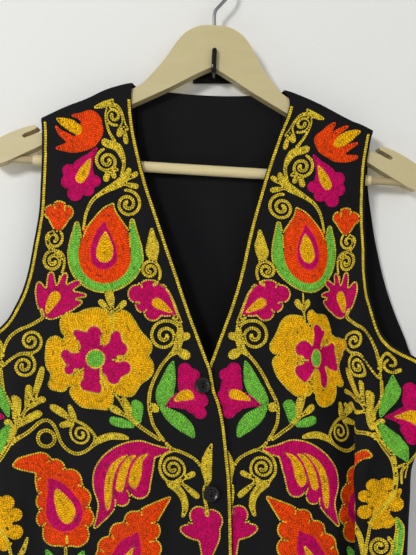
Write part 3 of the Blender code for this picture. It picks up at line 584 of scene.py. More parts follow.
MOTIFS = (
    # --- the scroll that climbs from the tulip to the shoulder
    gold(stem((0.7, 2.5, 3.1, 2.6, 0.7), (118, 29.5), (112, 27.5), (106, 25.5), (101, 23), (97, 19.5)),
        stem((2.2, 1.8, 1.5, 1.6, 2), (101, 25), (94, 26), (89.5, 31.5), (87.5, 38.5), (86.5, 44)),
        stem((1.8, 1.3, 1.3, 1.4, 1.8), (102, 27), (105, 35), (104, 45.5), (101, 53), (95.5, 61.5)),
        spiral(1.3, (97, 36), (93, 44.5), 1.4), club(3, (87.5, 41), (91.5, 53.5)),
        club(2.5, (86.5, 47), (84.5, 61)), club(1.9, (86.5, 43), (81.5, 50))),
    gold(club(3.8, (95.5, 68.5), (106, 62)), stem((3.6, 4.2, 3.4, 1.8, 1.6, 2), (100, 63.5), (93.5, 66.5),
        (89.5, 72.5), (86.5, 81.5), (87.5, 89.5), (89.5, 97.5)), spiral(1.5, (103.5, 81), (107, 69), -1.8),
        club(3.2, (101.5, 89), (104.5, 99)), club(2.7, (99.5, 89), (96.5, 96)),
        club(2, (98.5, 88), (93.5, 89.5))),
    gold(stem((1.3, 1.5, 1.8, 2.3, 3.4, 4.6, 4), (127, 150), (124, 133.5), (117.5, 120.5), (107.5, 112.5),
        (98.5, 107), (89.5, 101.5), (84.5, 95.5)), club(2.7, (85.5, 99.5), (81.5, 89.5)),
        club(2.7, (84.5, 99.5), (74.5, 93)), club(2.8, (86.5, 103.5), (74, 105.5)),
        spiral(1.5, (82.5, 123.5), (85.5, 109.5), 1.95)),
    # --- the blossom and the scalloped bud at the shoulder
    orange(stem((10, 12.4, 11.6), (120, 44), (120, 51), (124, 58)),
        stem((0.6, 2.2, 5), (141.5, 39.5), (134.5, 38), (126.5, 39.5)),
        stem((0.8, 3, 7, 9), (130.5, 35.5), (124, 35), (120, 38.5), (118, 43)),
        stem((1.2, 3.6, 6, 8.6), (155.5, 70.5), (147.5, 69.5), (138.5, 68), (131.5, 64)),
        stem((0.8, 2.6, 4.6), (156.5, 49), (151.5, 55.5), (141.5, 61)),
        stem((0.8, 2.4, 4), (132.5, 71), (125, 68.5), (119, 63.5)), side=LAPPING),
    orange(stem((9, 11, 9), (121.5, 51), (127, 57), (136.5, 64.5)),
        stem((6.5, 4.5, 2), (121.5, 49.5), (125, 39), (128.5, 33)),
        stem((5, 3.4, 2), (128.5, 50.5), (135.5, 41), (142.5, 36.5)),
        stem((5, 3, 1.8), (141, 63), (150.5, 57.5), (156.5, 55.5)),
        stem((5.5, 4, 2.4), (137.5, 69), (149.5, 70.5), (158, 69.5)), side=UNDER),
    amber(stem((0.5, 3.8, 5.8, 5.4), (156.5, 42.5), (148.5, 45.5), (140.5, 48), (134.5, 51)), side=LAPPING),
    amber(stem((4.5, 6.8, 6.6, 4, 0.8), (137, 54.5), (141.5, 50.5), (146.5, 47), (152.5, 44.5),
        (158.5, 43.5)), side=UNDER),
    magenta(stem((1, 4, 10, 14), (114, 68), (121, 77.5), (128, 88.5), (130, 99)),
        beads((6, 115.5, 101.5), (6.4, 122.5, 110.5), (8, 135.5, 114), (7, 143, 103), (7, 142, 92))),
    amber(stem((0.5, 3.4, 5.4, 5.2), (120, 78.5), (123.5, 85.5), (127, 92.5), (130.5, 99))),
    orange(beads((5.6, 152, 128.5), (5.6, 160.5, 133), (5.6, 143.5, 133)),
        stem((10.6, 9.4, 5.4, 1), (151.5, 134), (152, 137.5), (152.5, 144.5), (152.5, 150)), edged=True),
    gold(stem(1, (158, 125), (156, 127), (156, 130)), stem(1, (144.5, 126), (146.5, 129), (145.5, 132))),
    gold(spiral(1.3, (156.5, 158.5), (150.5, 151), 1.35), stem((2.6, 1.8), (153, 172), (147, 177)), stem(1.3,
        (156.5, 151), (163, 154), (164.5, 159.5), (162.5, 165.5), (157.5, 169), (150, 171), (146, 177),
        (146, 185), (148, 191.5), (150, 198.5), (152, 206.5)), spiral(1.5, (157, 180), (156.5, 169), -1.7)),
    # --- the tulip
    green(stem((1.4, 4.4, 5.4, 6, 7, 6.6, 6.2, 6.5, 7, 6.4, 5, 3.4, 1.2), (133.5, 144), (134, 156.5),
        (136, 171), (133, 186), (123.5, 196.5), (112.5, 202.5), (102.5, 203.5), (90.5, 199.5), (80, 190.5),
        (74, 179.5), (74, 166.5), (76.5, 153), (78, 140)), edged=True),
    orange(stem((0.8, 6, 16, 23.4, 26, 26), (97, 125), (101, 134), (103, 145.5), (104.5, 159), (105.5, 172),
        (105, 176))),
    gold(stem(1, (97, 123), (106.5, 128), (115, 137), (122, 146), (127, 156.5)),
        stem(1, (97, 123), (94.5, 131.5), (88, 140.5), (81, 150))),
    magenta(stem((0.6, 4.6, 9.6, 13, 13.2), (105.5, 141), (107, 149.5), (107, 159), (106.5, 169),
        (106, 175))),
    amber(stem((0.5, 5, 8.4, 8.4), (104.5, 150.5), (105, 159), (105, 168), (105.5, 173))),
    gold(stem((1.8, 3.6, 6.2, 6.8, 4.4, 1.4), (58, 148), (58, 155.5), (57, 163.5), (57.5, 169.5),
        (56.5, 175.5), (54.5, 180.5)), stem(1.4, (55.5, 179.5), (50.5, 186.5), (49.5, 194.5), (52.5, 202.5)),
        spiral(1.4, (59.5, 188.5), (54.5, 180.5), -1.6)),
    # --- the lily by the armhole and its long stem
    magenta(stem((1.6, 5, 8, 8), (171, 202.5), (169, 210.5), (164.5, 220.5), (161.5, 227.5)),
        stem((2.2, 3.2, 5), (159, 193.5), (159, 199.5), (158, 209.5)),
        stem((2.2, 2.8, 4.4), (145, 194.5), (147, 200.5), (149.5, 209.5)),
        stem((2.4, 2.8, 5), (131.5, 201.5), (137.5, 204.5), (145.5, 211.5)),
        stem((0.9, 2.4, 5), (124.5, 214), (132.5, 213.5), (141.5, 215.5)),
        stem((0.9, 3.6, 8), (128.5, 220.5), (135.5, 222.5), (145.5, 223.5)),
        stem((13, 12, 8.6), (152.5, 219.5), (154.5, 223.5), (158.5, 228.5)), edged=True),
    amber(stem((2, 4.2, 5.6, 5.8), (162.5, 230.5), (160, 224.5), (156.5, 218.5), (154.5, 215.5))),
    gold(stem((1.8, 1.8, 1.6, 1.6, 1.6, 1.6, 1.6, 1.6, 1.6), (168.5, 228.5), (166.5, 235.5), (171.5, 239.5),
        (180.5, 244.5), (190.5, 248.5), (199.5, 255.5), (205, 266.5), (206.5, 278), (207.5, 292.5)),
        spiral(1.4, (178.5, 259.5), (182, 271.5), -1.8), stem((1.5, 1.8), (182, 271.5), (189, 272)),
        stem(1.5, (189, 272), (197.5, 277), (205.5, 284)), spiral(1.4, (184.5, 284), (189, 272), 1.9)),
    gold(stem(1.6, (207.5, 286.5), (206, 304), (204, 317.5), (202, 327), (203, 338))),
    magenta(beads((8.4, 61.5, 207.5), (8.4, 72.5, 212.5), (6.8, 66.5, 223.5), (8, 56.5, 230.5)),
        stem((12, 11, 7.6, 0.8), (57.5, 217.5), (51.5, 220.5), (43.5, 226.5), (33.5, 232.5)),
        stem((8, 8, 5), (57.5, 207.5), (49.5, 211.5), (42.5, 219.5)), edged=True),
    amber(stem((5.2, 4.4, 2.6, 0.5), (52.5, 221.5), (47.5, 224.5), (41.5, 228.5), (36, 231.5))),
    gold(stem(1, (71.5, 201.5), (68.5, 203.5), (67.5, 206.5)),
        stem(1, (74.5, 221.5), (70.5, 220.5), (69.5, 222.5)),
        stem(1, (66.5, 231.5), (63.5, 229.5), (62.5, 227.5)), stem((1.4, 1.9), (51.5, 200.5), (55.5, 203.5)),
        stem((0.9, 1.1, 1.3, 1.5, 1.8), (49.5, 202.5), (41.5, 209.5), (36.5, 219.5), (32.5, 230.5),
        (28.5, 241.5)), stem((1, 1.6, 1.8), (37.5, 235.5), (33.5, 238.5), (28.5, 240.5))),
    # --- the great five-petalled flower
    amber(stem((26, 30), (124.5, 275), (111, 275)), stem((5, 7, 8, 10, 11, 9), (142.5, 247.5), (141, 240),
        (131, 241), (121, 238.5), (113, 238), (106.5, 239.5)), beads((8, 131, 247.5), (12, 89, 260.5),
        (12, 91.5, 290), (10, 126, 301), (8, 136, 258), (9, 140, 294), (5, 153.5, 296)),
        stem((10, 9, 9, 10, 9), (91.5, 252.5), (88.5, 239), (83.5, 244), (77.5, 255.5), (67, 265.5)),
        stem((13, 8, 10, 10, 7), (79, 276.5), (64.5, 286), (76.5, 294), (85, 303.5), (91.5, 305)),
        stem((8, 9, 9, 7.5), (112.5, 318.5), (122, 316.5), (130.5, 315.5), (133.5, 312)),
        stem((8, 10, 9.5, 8, 6, 4.5), (154, 263.5), (153, 272), (153, 281), (149.5, 290), (149, 302),
        (156.5, 303)), stem((8.5, 6), (106, 305.5), (108.5, 316)), edged=True, side=LAPPING),
    amber(stem((24, 24), (98, 275), (119.5, 276)),
        stem((6, 9, 9, 6.5), (92, 241.5), (82, 244), (77, 254.5), (68, 265.5)), beads((9, 76, 266.5),
        (9, 91.5, 296), (10, 127, 299.5), (9, 112.5, 253.5), (9, 99, 251.5), (9, 115.5, 303.5),
        (9, 140.5, 297.5), (7, 146.5, 262.5)), stem((7, 9, 9, 7, 6.5), (71, 281.5), (76.5, 290.5),
        (84.5, 300), (91, 307), (99.5, 306)), stem((5, 7, 8, 9), (116.5, 315.5), (121.5, 318), (132, 315),
        (136, 306.5)), stem((5, 7, 7, 8, 6, 4.6), (152.5, 301.5), (149, 292.5), (150.5, 282.5), (157, 270),
        (155, 264.5), (165, 264.5)), stem((5, 7, 9, 6.5), (107.5, 234.5), (113.5, 240.5), (128.5, 244),
        (138.5, 253.5)), edged=True, side=UNDER),
    magenta(beads((15, 114, 277), (7, 115, 251.5), (5.2, 93.5, 254.5), (6.4, 88, 267.5), (6.6, 85, 286),
        (6.2, 96, 296), (5.8, 124, 303), (6.2, 115, 305), (5.2, 143, 273), (4.6, 140, 288)),
        stem((3.8, 6, 9), (132, 251.5), (124, 257.5), (120, 269)), stem((7, 9), (116, 254.5), (117, 265)),
        stem((5, 8, 7.4), (93.5, 256.5), (94, 265.5), (102, 271.5)),
        stem((7.6, 8.4, 7), (91, 288), (98, 287), (105, 281)), stem((8, 8.4), (119, 302), (117, 290)),
        stem((6.4, 7.6, 8), (139, 277), (133, 279), (125, 278)), edged=True, side=LAPPING),
    magenta(beads((11, 116.5, 277), (4.6, 97, 295.5), (5.4, 147.5, 268), (5.4, 150, 286.5)),
        stem((4.2, 7.4, 7), (115.5, 247.5), (120.5, 253), (118, 264)),
        stem((2.6, 4.4), (130.5, 252), (123.5, 257)),
        stem((6, 7.6, 8), (92.5, 268), (97.5, 266.5), (104.5, 271.5)),
        stem((5.6, 7.6, 7.6), (91.5, 289), (97, 291), (104, 284.5)),
        stem((6, 6, 6.4, 5.4), (124, 283.5), (127, 291.5), (127.5, 297.5), (126.5, 302)),
        stem((9, 11, 10.4), (130, 276.5), (141.5, 276), (144.5, 279.5)), edged=True, side=UNDER),
    gold(stem(1.1, (129.5, 268), (128.5, 264), (131.5, 258)),
        stem(1.1, (108, 263.5), (108, 258.5), (107, 252.5)), stem(1.1, (81, 275.5), (90, 277), (97, 278)),
        stem(1.1, (125, 286), (129, 289), (135, 293)),
        stem((1.2, 1.2, 1.5, 1.3), (107, 283), (108.5, 291), (107, 299), (102.5, 306)), side=LAPPING),
    gold(stem(1.1, (87, 280.5), (95.5, 278.5), (103.5, 278.5)),
        stem((1.3, 1.5, 1.3), (114.5, 287.5), (111.5, 297.5), (108, 307)),
        stem(1.1, (125, 268.5), (132.5, 263.5), (138, 256.5)), side=UNDER),
    green(beads((8.4, 113.5, 277)), edged=True, side=LAPPING),
    green(beads((8, 116.5, 277)), edged=True, side=UNDER),
    gold(club(4.4, (96.5, 229.5), (100.5, 212.5)), club(3, (98.5, 231.5), (108.5, 220.5)),
        club(3, (95.5, 231.5), (85.5, 221.5)), stem((3.8, 2.6, 1.4, 1), (97, 230.5), (97.5, 236.5),
        (97.5, 243.5), (97, 251.5)), side=LAPPING),
    gold(club(3.6, (96, 229.5), (89, 221)), club(3.4, (97, 229.5), (102.5, 221)),
        stem((1, 1.2, 1.4, 1), (96, 211.5), (96.5, 221.5), (97, 230.5), (99, 242.5)), side=UNDER),
    # --- the cluster of gold leaves at the side
    gold(stem((2.5, 3.5, 2.9, 2.2, 1.8), (167, 287), (169.5, 296), (173, 305.5), (178, 314), (188.5, 325.5)),
        stem((3.4, 2.8, 1.6), (180.5, 305.5), (183.5, 313), (188.5, 322)),
        stem((4.7, 3.7, 2.2), (196, 316.5), (198, 325.5), (201, 335.5)),
        stem((3, 2.6, 1.8), (170.5, 316.5), (177, 319), (185, 324)),
        stem((3.6, 3.6, 2.4), (178.5, 330.5), (187.5, 334.5), (199, 341)),
        stem((1.6, 1.6, 2.6, 3.4, 3), (186.5, 322.5), (193, 330.5), (201, 340), (206.5, 348.5), (209, 354.5)),
        side=LAPPING),
    gold(stem((3.6, 4.8, 3.6, 2.4, 1.7), (171, 290), (174, 298.5), (179.5, 308.5), (187.5, 316),
        (194.5, 325)), stem((2.8, 2.2, 1.5), (187.5, 299.5), (188.5, 308), (190.5, 317)),
        stem((4, 3.2, 2), (195.5, 307.5), (196.5, 316.5), (198.5, 327)),
        stem((2.8, 2.2, 1.5), (158.5, 312), (174, 315), (188.5, 318)),
        stem((3, 2.8, 1.9), (154.5, 326), (162, 327.5), (192.5, 328)),
        stem((1.6, 1.6, 2.6, 3.4, 3), (190.5, 318), (195, 326), (198, 330.5), (201.5, 340), (204.5, 347.5)),
        side=UNDER),
    gold(beads((4.8, 210, 340.5))),
    gold(stem((1.4, 3.6, 4, 3.6, 2), (28.5, 243.5), (29.5, 251.5), (30.5, 260.5), (33.5, 268.5), (39, 273.5)),
        stem(1.6, (39, 273.5), (46, 281.5), (53.5, 293), (58.5, 303), (63.5, 313), (67.5, 321.5),
        (68.5, 330.5), (67.5, 341.5), (63, 351), (57, 360)), spiral(1.5, (44.5, 254.5), (29.5, 246.5), -1.95),
        club(3.8, (29.5, 257.5), (22.5, 254.5)), club(4.8, (32.5, 268.5), (23.5, 273.5)),
        beads((4.8, 63, 325.5))),
    # --- the blossom under the lap's edge
    green(stem((1, 4.4, 7.4, 8.2, 5.4, 2.8), (36, 279.5), (38.5, 288), (42, 300), (47, 310), (53.5, 318),
        (56, 323.5))),
    magenta(beads((7, 24.5, 288), (6.2, 16, 293), (8.6, 15.5, 316), (7.2, 19.5, 329.5), (8, 25, 323.5)),
        stem((8, 11, 10), (24, 294), (22, 306), (24, 315)),
        stem((10, 8, 5, 0.7), (25.5, 318), (33.5, 319), (42, 320.5), (52, 324.5))),
    amber(stem((5.2, 4.6, 2.6, 0.8), (24.5, 312.5), (30.5, 314), (36.5, 316.5), (42, 319))),
    green(stem((3.4, 6.4, 8.2, 7.4, 5, 1.6), (54.5, 326.5), (49, 332.5), (42, 338), (36, 343.5), (32, 348.5),
        (29, 354.5))),
    green(stem((6, 5.4, 3), (79.5, 323.5), (81.5, 330.5), (82.5, 340.5))),
    green(stem((4.6, 4.8, 3), (106, 338.5), (98, 340.5), (88.5, 342.5))),
    gold(club(3.8, (92, 334.5), (105, 325.5)), stem((3.2, 4.2, 2.6), (90.5, 318), (90, 325.5), (89.5, 335.5)),
        stem((2.4, 2, 1.8, 1.7), (90, 333.5), (82.5, 342.5), (73.5, 349.5), (62.5, 357)),
        stem((1.3, 1.3, 1.6), (99.5, 309), (96, 316), (93.5, 323.5))),
    gold(stem((4, 4.2, 1.8), (163, 325.5), (157, 330), (150.5, 336)),
        stem((2.2, 3.6, 2.2), (147, 324), (146.5, 331), (144, 338.5)),
        stem((2.8, 3.4, 1.8), (158.5, 343), (151, 341), (144, 339.5))),
    # --- the wavy scroll across the chest
    gold(stem((1.8, 1.8, 2.6, 1.8, 1.7, 1.7, 1.7, 1.7, 1.7, 1.7, 1.7, 1.7, 1.6, 1.5, 1.5, 1.5), (221.5, 369),
        (215, 364.5), (207.5, 357.5), (197.5, 352), (188.5, 346.5), (179, 339), (172, 337.5), (167, 341.5),
        (164, 349.5), (161.5, 359.5), (155, 367.5), (146.5, 371), (137, 368), (129.5, 362), (126.5, 354),
        (131, 346.5)), stem(1.5, (131, 346.5), (137, 341.5), (144, 338.5)), ring(8, 1.7, (175, 355.5)),
        spiral(1.15, (140.5, 351.5), (146.5, 341.5), -1.8),
        stem((1.8, 3.2, 3.6, 3.2, 1.8), (130.5, 363), (122, 357), (111.5, 353.5), (101.5, 353.5), (94, 355))),
    magenta(stem((0.8, 5, 8.6, 9.6, 10.4, 10.4, 9.6, 8.6, 7.8, 5, 0.7), (53.5, 367), (68.5, 368), (83, 367),
        (97, 370.5), (111, 379.5), (120.5, 391.5), (122.5, 403.5), (120.5, 413), (120, 421), (124, 430),
        (132, 443)), stem((8.4, 8.2, 7.4), (101, 386), (104, 401), (105, 413.5)),
        stem((7, 10, 11, 9.6), (77, 373.5), (83, 385), (87, 396.5), (87, 403.5)),
        stem((8, 10, 9), (98, 370.5), (94, 380), (94.5, 394.5)), edged=True),
    amber(stem((0.5, 2, 3.4, 3.8, 4, 3.6, 2.4, 0.8), (95.5, 371), (103.5, 376), (111.5, 384.5), (116, 394.5),
        (118, 405.5), (118.5, 415), (119, 422), (119.5, 427))),
    amber(stem((0.5, 2.8, 4.2, 4.4, 4), (86.5, 371), (94.5, 376), (101, 386), (104.5, 396), (106.5, 404))),
    amber(stem((0.5, 2.4, 4.4, 5.8, 5.2, 2.2), (74.5, 370), (82, 374.5), (87, 382), (89.5, 389.5),
        (92, 397.5), (92, 402.5))),
    gold(stem(1, (112, 423), (111, 419), (111.5, 415)), stem(1, (96.5, 412.5), (97.5, 408.5), (99.5, 405.5))),
    gold(spiral(1.3, (52.5, 385), (45, 395), -2.05),
        stem(1.4, (51.5, 368), (60, 372), (64.5, 379.5), (65.5, 387.5), (62, 394.5), (57.5, 399.5)),
        stem((3.6, 4, 3.6, 2.2), (56.5, 400.5), (53, 402), (48.5, 399), (44.5, 395)),
        club(2.8, (44.5, 396.5), (33, 390.5)), club(3, (46.5, 398.5), (30.5, 412.5)),
        stem((3, 4, 3.6, 3, 1.8), (55, 402.5), (48, 407.5), (43.5, 415.5), (42.5, 424.5), (45, 432.5)),
        stem(1.6, (57, 360), (51.5, 366), (43, 369), (34.5, 373), (28, 378), (24.5, 384))),
    gold(stem((0.9, 3.4, 5.2, 5.4, 4, 1.4), (11.5, 361), (15, 369), (18, 378), (19.5, 386), (19, 394.5),
        (21, 402.5))),
    # --- the scalloped paisley leaves
    orange(stem((0.8, 5.3, 8.2, 9.4), (208.5, 381.5), (200.5, 379.5), (190, 379.5), (182, 379)),
        stem((9, 16, 22.4, 23.4, 21.4), (178, 386.5), (172.5, 397.5), (164.5, 410), (162, 424), (162.5, 439)),
        beads((8.2, 168.5, 385), (9.8, 154.5, 396.5), (9.6, 146, 414), (9.6, 143.5, 433.5),
        (10.6, 149.5, 450), (10, 173.5, 450.5), (8.8, 180.5, 435), (8.8, 180, 418), (8.4, 179.5, 402)),
        edged=True),
    gold(ticks(1, (173.5, 377, 176.5, 379.5), (158.5, 384, 162.5, 386.5), (144, 402.5, 148, 401.5),
        (135.5, 424, 140.5, 423), (138, 443.5, 142, 440.5), (185, 443, 180.5, 439), (188, 426, 184, 424),
        (187.5, 410, 183.5, 408), (187.5, 396, 183.5, 394)), stem((1.6, 1), (159.5, 457.5), (159.5, 450.5))),
    magenta(stem((1.4, 8, 14, 17.6, 18.4), (176, 395.5), (169.5, 404.5), (165, 416), (162.5, 425),
        (162, 428.5))),
    amber(stem((2.2, 6, 9, 9.2, 6.6), (168.5, 407), (166, 414), (161.5, 423), (160, 427.5), (159.5, 432.5))),
    amber(beads((7.4, 217.5, 417.5), (7.4, 230, 415.5), (7.4, 210, 446.5), (6.6, 209.5, 429.5), (8, 238, 437),
        (7.6, 230.5, 455.5), (7.6, 221.5, 457.5), (12, 224, 434), (9, 224.5, 446.5)),
        stem((0.8, 4, 6), (243, 420), (239.5, 424), (235, 429.5))),
    orange(stem((0.8, 5, 8.6, 11, 15.4, 20.6, 23.4, 22), (58, 414.5), (68, 422.5), (77, 430), (85, 438),
        (91.5, 448), (103, 466), (109, 478), (111, 488)), beads((9, 93, 436), (9.2, 107.5, 448.5),
        (9.4, 119.5, 462.5), (9.2, 77.5, 445.5), (9.4, 77, 463.5), (9, 128, 488), (9, 82, 485),
        (9.4, 124, 500), (9.4, 94, 502), (9.4, 110, 508)), edged=True),
    magenta(stem((0.8, 6, 12, 15, 15), (89.5, 447), (93.5, 456), (98.5, 465), (108, 485), (109, 490))),
    amber(stem((0.6, 4, 8, 8), (94, 461.5), (101, 474), (106, 486), (107, 490))),
    gold(ticks(1, (86, 426, 85, 431), (101, 437, 99, 441), (115.5, 450.5, 113.5, 454.5),
        (127.5, 464.5, 123.5, 467.5), (71.5, 437, 76.5, 438), (73, 455.5, 78.5, 456.5), (98, 511, 99, 505))),
    magenta(beads((8.4, 29, 432), (10.4, 17, 437)),
        stem((11, 10, 7, 5, 4), (20.5, 442), (19.5, 452), (20.5, 462), (21.5, 468.5), (22, 475.5)),
        stem((3.2, 6.4, 9), (44, 445.5), (37, 447), (28.5, 447)), edged=True),
    gold(stem((1.3, 1.2, 1.6, 2.4), (23, 402.5), (23.5, 412.5), (21.5, 422.5), (21, 431)),
        stem(1.1, (40, 438), (37, 440), (35, 439))),
    # --- the lowest rows, down to the hem
    green(leaf(4.4, (182, 465), (170, 485))),
    green(leaf(4.4, (143, 465), (154, 486))),
    green(leaf(5, (166, 487), (182, 505))),
    green(leaf(5, (158, 487), (142, 507))),
    gold(stem(1.7, (161, 462), (161, 478), (162, 495), (168, 513), (182, 525), (200, 532)),
        spiral(1.5, (203, 519), (198, 532), 1.8), stem(1.7, (162, 495), (156, 515), (144, 527), (128, 533)),
        spiral(1.5, (128, 522), (128, 533), -1.8)),
    gold(spiral(1.6, (44, 490), (58, 482), 2.2), stem(1.7, (58, 482), (67, 495), (69, 513), (61, 527),
        (45, 533)), club(3.4, (67, 505), (77, 501)), club(3.2, (67, 515), (79, 517))),
    magenta(stem((0.8, 7, 9), (79, 548), (89, 537), (97, 529)), beads((6, 105, 527), (6, 97, 520)),
        edged=True),
    amber(drop(4, (87, 539), (97, 529))),
    orange(stem((0.8, 4.6, 7.6), (28, 510), (26.5, 520), (25, 530)),
        beads((5.4, 32, 535), (5.4, 18, 534), (5.4, 25, 540)), edged=True),
    amber(beads((7, 168, 540), (7, 156, 537), (7, 148, 546), (7, 162, 549), (7, 159, 543)), edged=True),
    magenta(beads((4, 159, 543))),
    # --- round the side, towards the seam
    gold(stem((1.8, 1.8, 1.8, 1.8, 1.9, 2.4, 2.3, 2.2, 2.1, 1.6, 1.6, 1.6, 1.6), (206, 354), (211, 360.5),
        (219, 372), (229, 384), (234, 393.5), (237.5, 404), (237.5, 417), (235, 428.5), (229.5, 438.5),
        (223, 447), (217.5, 455.5), (215, 467.5), (213, 481)),
        stem(1.4, (204, 341.5), (211, 354.5), (220, 367), (228, 376.5), (235, 391)),
        stem((1.8, 1.8, 1.7), (213, 481), (213, 507), (224, 521))),
    gold(stem(1.4, (207.5, 277), (207, 267), (208.5, 261), (212, 258.5), (217.5, 262), (222, 267),
        (220.5, 271), (216, 270)), stem((2.2, 1.5, 1.4, 1.4, 1.4), (226.5, 275), (219.5, 278), (212.5, 275),
        (210, 269), (214, 265))),
    green(stem((1.4, 5, 8, 8, 1), (209, 333.5), (210, 323.5), (213, 311.5), (217.5, 298.5), (219, 280.5))),
    green(stem((1.6, 5, 8, 7.4, 0.8), (209.5, 341), (216, 351), (225, 362), (235.5, 374), (245.5, 388))),
    magenta(stem((0.6, 5, 11, 15), (212, 334), (222, 333), (232, 331.5), (238, 331.5)),
        stem((10, 7), (235.5, 311.5), (234.5, 296)), stem((10, 7), (240.5, 347.5), (245.5, 361)),
        stem((14, 13), (246, 336), (251, 346)), beads((7, 260, 330), (7, 263, 344), (7, 261, 357))),
    amber(stem((0.6, 4.4, 7, 6), (221, 334), (231.5, 333), (238, 332.5), (252, 342))),
    gold(stem((1.5, 1.6, 1.2), (237, 395.5), (241, 392), (247, 389.5)),
        stem((1.4, 1.6, 1), (246, 390.5), (242.5, 399), (243.5, 414.5)), stem(1, (247, 393), (246.5, 407.5)),
        stem((1.2, 2.4, 1), (247, 389.5), (250, 384), (256, 374))),
    green(stem((0.9, 3, 3.6, 3.6, 3, 1), (240, 452.5), (243.5, 461.5), (243, 472.5), (242, 485.5), (240, 498),
        (238, 508)), edged=True),
    gold(stem(0.8, (241.5, 462), (241, 473.5), (241, 486.5))),
    gold(stem((1.3, 2.4, 2.8, 2.2), (199, 453), (202.5, 463.5), (207, 473.5), (213, 500))),
    gold(spiral(1.5, (226, 481.5), (233.5, 471.5), -2), stem((1.4, 2), (233.5, 471.5), (234, 474))),
    gold(spiral(1.6, (257, 505), (247, 495), 2), stem(1.7, (224, 521), (235, 517), (243, 507), (247, 495)),
        club(3.4, (235, 517), (245, 529))),
    green(leaf(5, (224, 521), (229, 545))),
    magenta(stem((0.8, 6, 9), (249, 519), (259, 529), (265, 537)), beads((5, 271, 543), (5, 261, 545)),
        edged=True),
)

# ---- rows of chain stitch --------------------------------------------------------------
PATTERN_STEP = 0.5  # the grid that the rows are found on, and its ends as u, d
PATTERN_START, PATTERN_END = np.array((-8.0, 0.0)), (270, 572)
MOTIF_MARGIN = 3
FAR = 50.0
ROW_SPACING = 1.5
LINK_LENGTH = 2.4
SHORTEST_ROW = 2.0
WIDE_STROKE = 1.12  # a stroke with a larger half-width is filled with rows; another is one row
OUTLINE_OFFSET = 0.75  # where the gold row round an edged motif lies
PLAIN_EDGE = 0.15  # how far the stitches of another motif reach out
UNDERLAP = 0.35  # how far a motif runs on under the one on top
LEAST_SHOWN = 0.2  # how clear of the ones on top a single row stays
BORDER_STEP = 0.7
FILL_BACK = 0.5  # how far back from the next full row a short row lies
FILL_REACH = 0.85  # and how far from it there must be bare cloth
EDGE_CLEAR = 5.4  # motifs stay this far inside the cut's edges
EDGE_ROWS = (1.5, 2.9)  # the double gold row inside the edges
ARMHOLE_ROWS = (3.0, 4.2)
EDGE_STEP = 1.5
NECK_ROW_START = 17.0
ARMHOLE_ROW_START = 46.0
PADDING_INSET = 1.9
# Under the stitches the cloth takes the threads' colour times this share: the thread colour with painted
# shade for the gaps between stitches.
PADDING_PAINTED_SHADE = 0.3
OUTLINE_SAMPLES, HEM_SAMPLES, BACK_SAMPLES = 240, 60, 121
CELL_EDGES = {  # corners inside a cell, as bits, to the pairs of its sides that a row crosses
    1: ((3, 0),), 2: ((0, 1),), 3: ((3, 1),), 4: ((1, 2),), 5: ((3, 0), (1, 2)), 6: ((0, 2),), 7: ((3, 2),),
    8: ((2, 3),), 9: ((2, 0),), 10: ((0, 1), (2, 3)), 11: ((2, 1),), 12: ((1, 3),), 13: ((1, 0),),
    14: ((0, 3),),
}


def stroke_distance(stroke, u, d):
    """Signed distance from a stroke's edge, negative inside it."""
    points, radii = stroke
    best = np.hypot(u - points[0, 0], d - points[0, 1]) - radii[0]
    for i in range(len(points) - 1):
        along = points[i + 1] - points[i]
        length = max(float(along @ along), 1e-9)
        t = np.clip(((u - points[i, 0]) * along[0] + (d - points[i, 1]) * along[1]) / length, 0, 1)
        gap = np.hypot(u - points[i, 0] - t * along[0], d - points[i, 1] - t * along[1])
        best = np.minimum(best, gap - radii[i] - t * (radii[i + 1] - radii[i]))
    return best


def is_wide(stroke):
    """Whether a stroke is wider than a single row of stitches."""
    return stroke.radii.max() > WIDE_STROKE


def level_lines(field, level, low):
    """Lines of (u, d) along one level of a gridded field whose first point is low."""
    above = field > level
    bits = above[:-1, :-1] * 1 + above[:-1, 1:] * 2 + above[1:, 1:] * 4 + above[1:, :-1] * 8
    rows, columns = field.shape
    i, j = np.nonzero((bits > 0) & (bits < 15))
    sides = np.stack((  # each side's number: sides along a row first, then those between rows
        i * columns + j, rows * columns + i * columns + j + 1,
        (i + 1) * columns + j, rows * columns + i * columns + j,
    ), axis=1)
    links = {}
    for case, side_row in zip(bits[i, j].tolist(), sides.tolist()):
        for a, b in CELL_EDGES[case]:
            links.setdefault(side_row[a], []).append(side_row[b])
            links.setdefault(side_row[b], []).append(side_row[a])
    lines = []
    ends = [side for side, others in links.items() if len(others) == 1]
    for start in ends + list(links):
        if not links.get(start):
            continue
        line, here = [start], start
        while links.get(here):
            there = links[here].pop()
            links[there].remove(here)
            line.append(there)
            here = there
        lines.append(np.array(line))
    flat = field.ravel()
    found = []
    for line in lines:
        between = line >= rows * columns
        first = line - between * rows * columns
        second = first + np.where(between, columns, 1)
        a, b = flat[first], flat[second]
        t = (level - a) / np.where(b == a, 1, b - a)
        row, column = first // columns + t * between, first % columns + t * ~between
        found.append(np.stack((low[0] + column * PATTERN_STEP, low[1] + row * PATTERN_STEP), axis=1))
    return found


def cut_outline():
    """The front's outline on the cut, as neck and hem edge, then side and armhole edge."""
    columns = np.stack(along_cut(FRONT_CUT, np.linspace(0, LAST_ROW, OUTLINE_SAMPLES)), axis=1)
    return columns[:, :2], columns[:, 2:]


def distance_to_line(points, line, chunk=4000):
    """Distance of each point from the nearest point of a dense line."""
    best = np.empty(len(points))
    line = line.astype(np.float32)
    for start in range(0, len(points), chunk):
        some = points[start : start + chunk].astype(np.float32)
        gaps = (some[:, None, 0] - line[None, :, 0]) ** 2 + (some[:, None, 1] - line[None, :, 1]) ** 2
        best[start : start + chunk] = np.sqrt(gaps.min(axis=1))
    return best


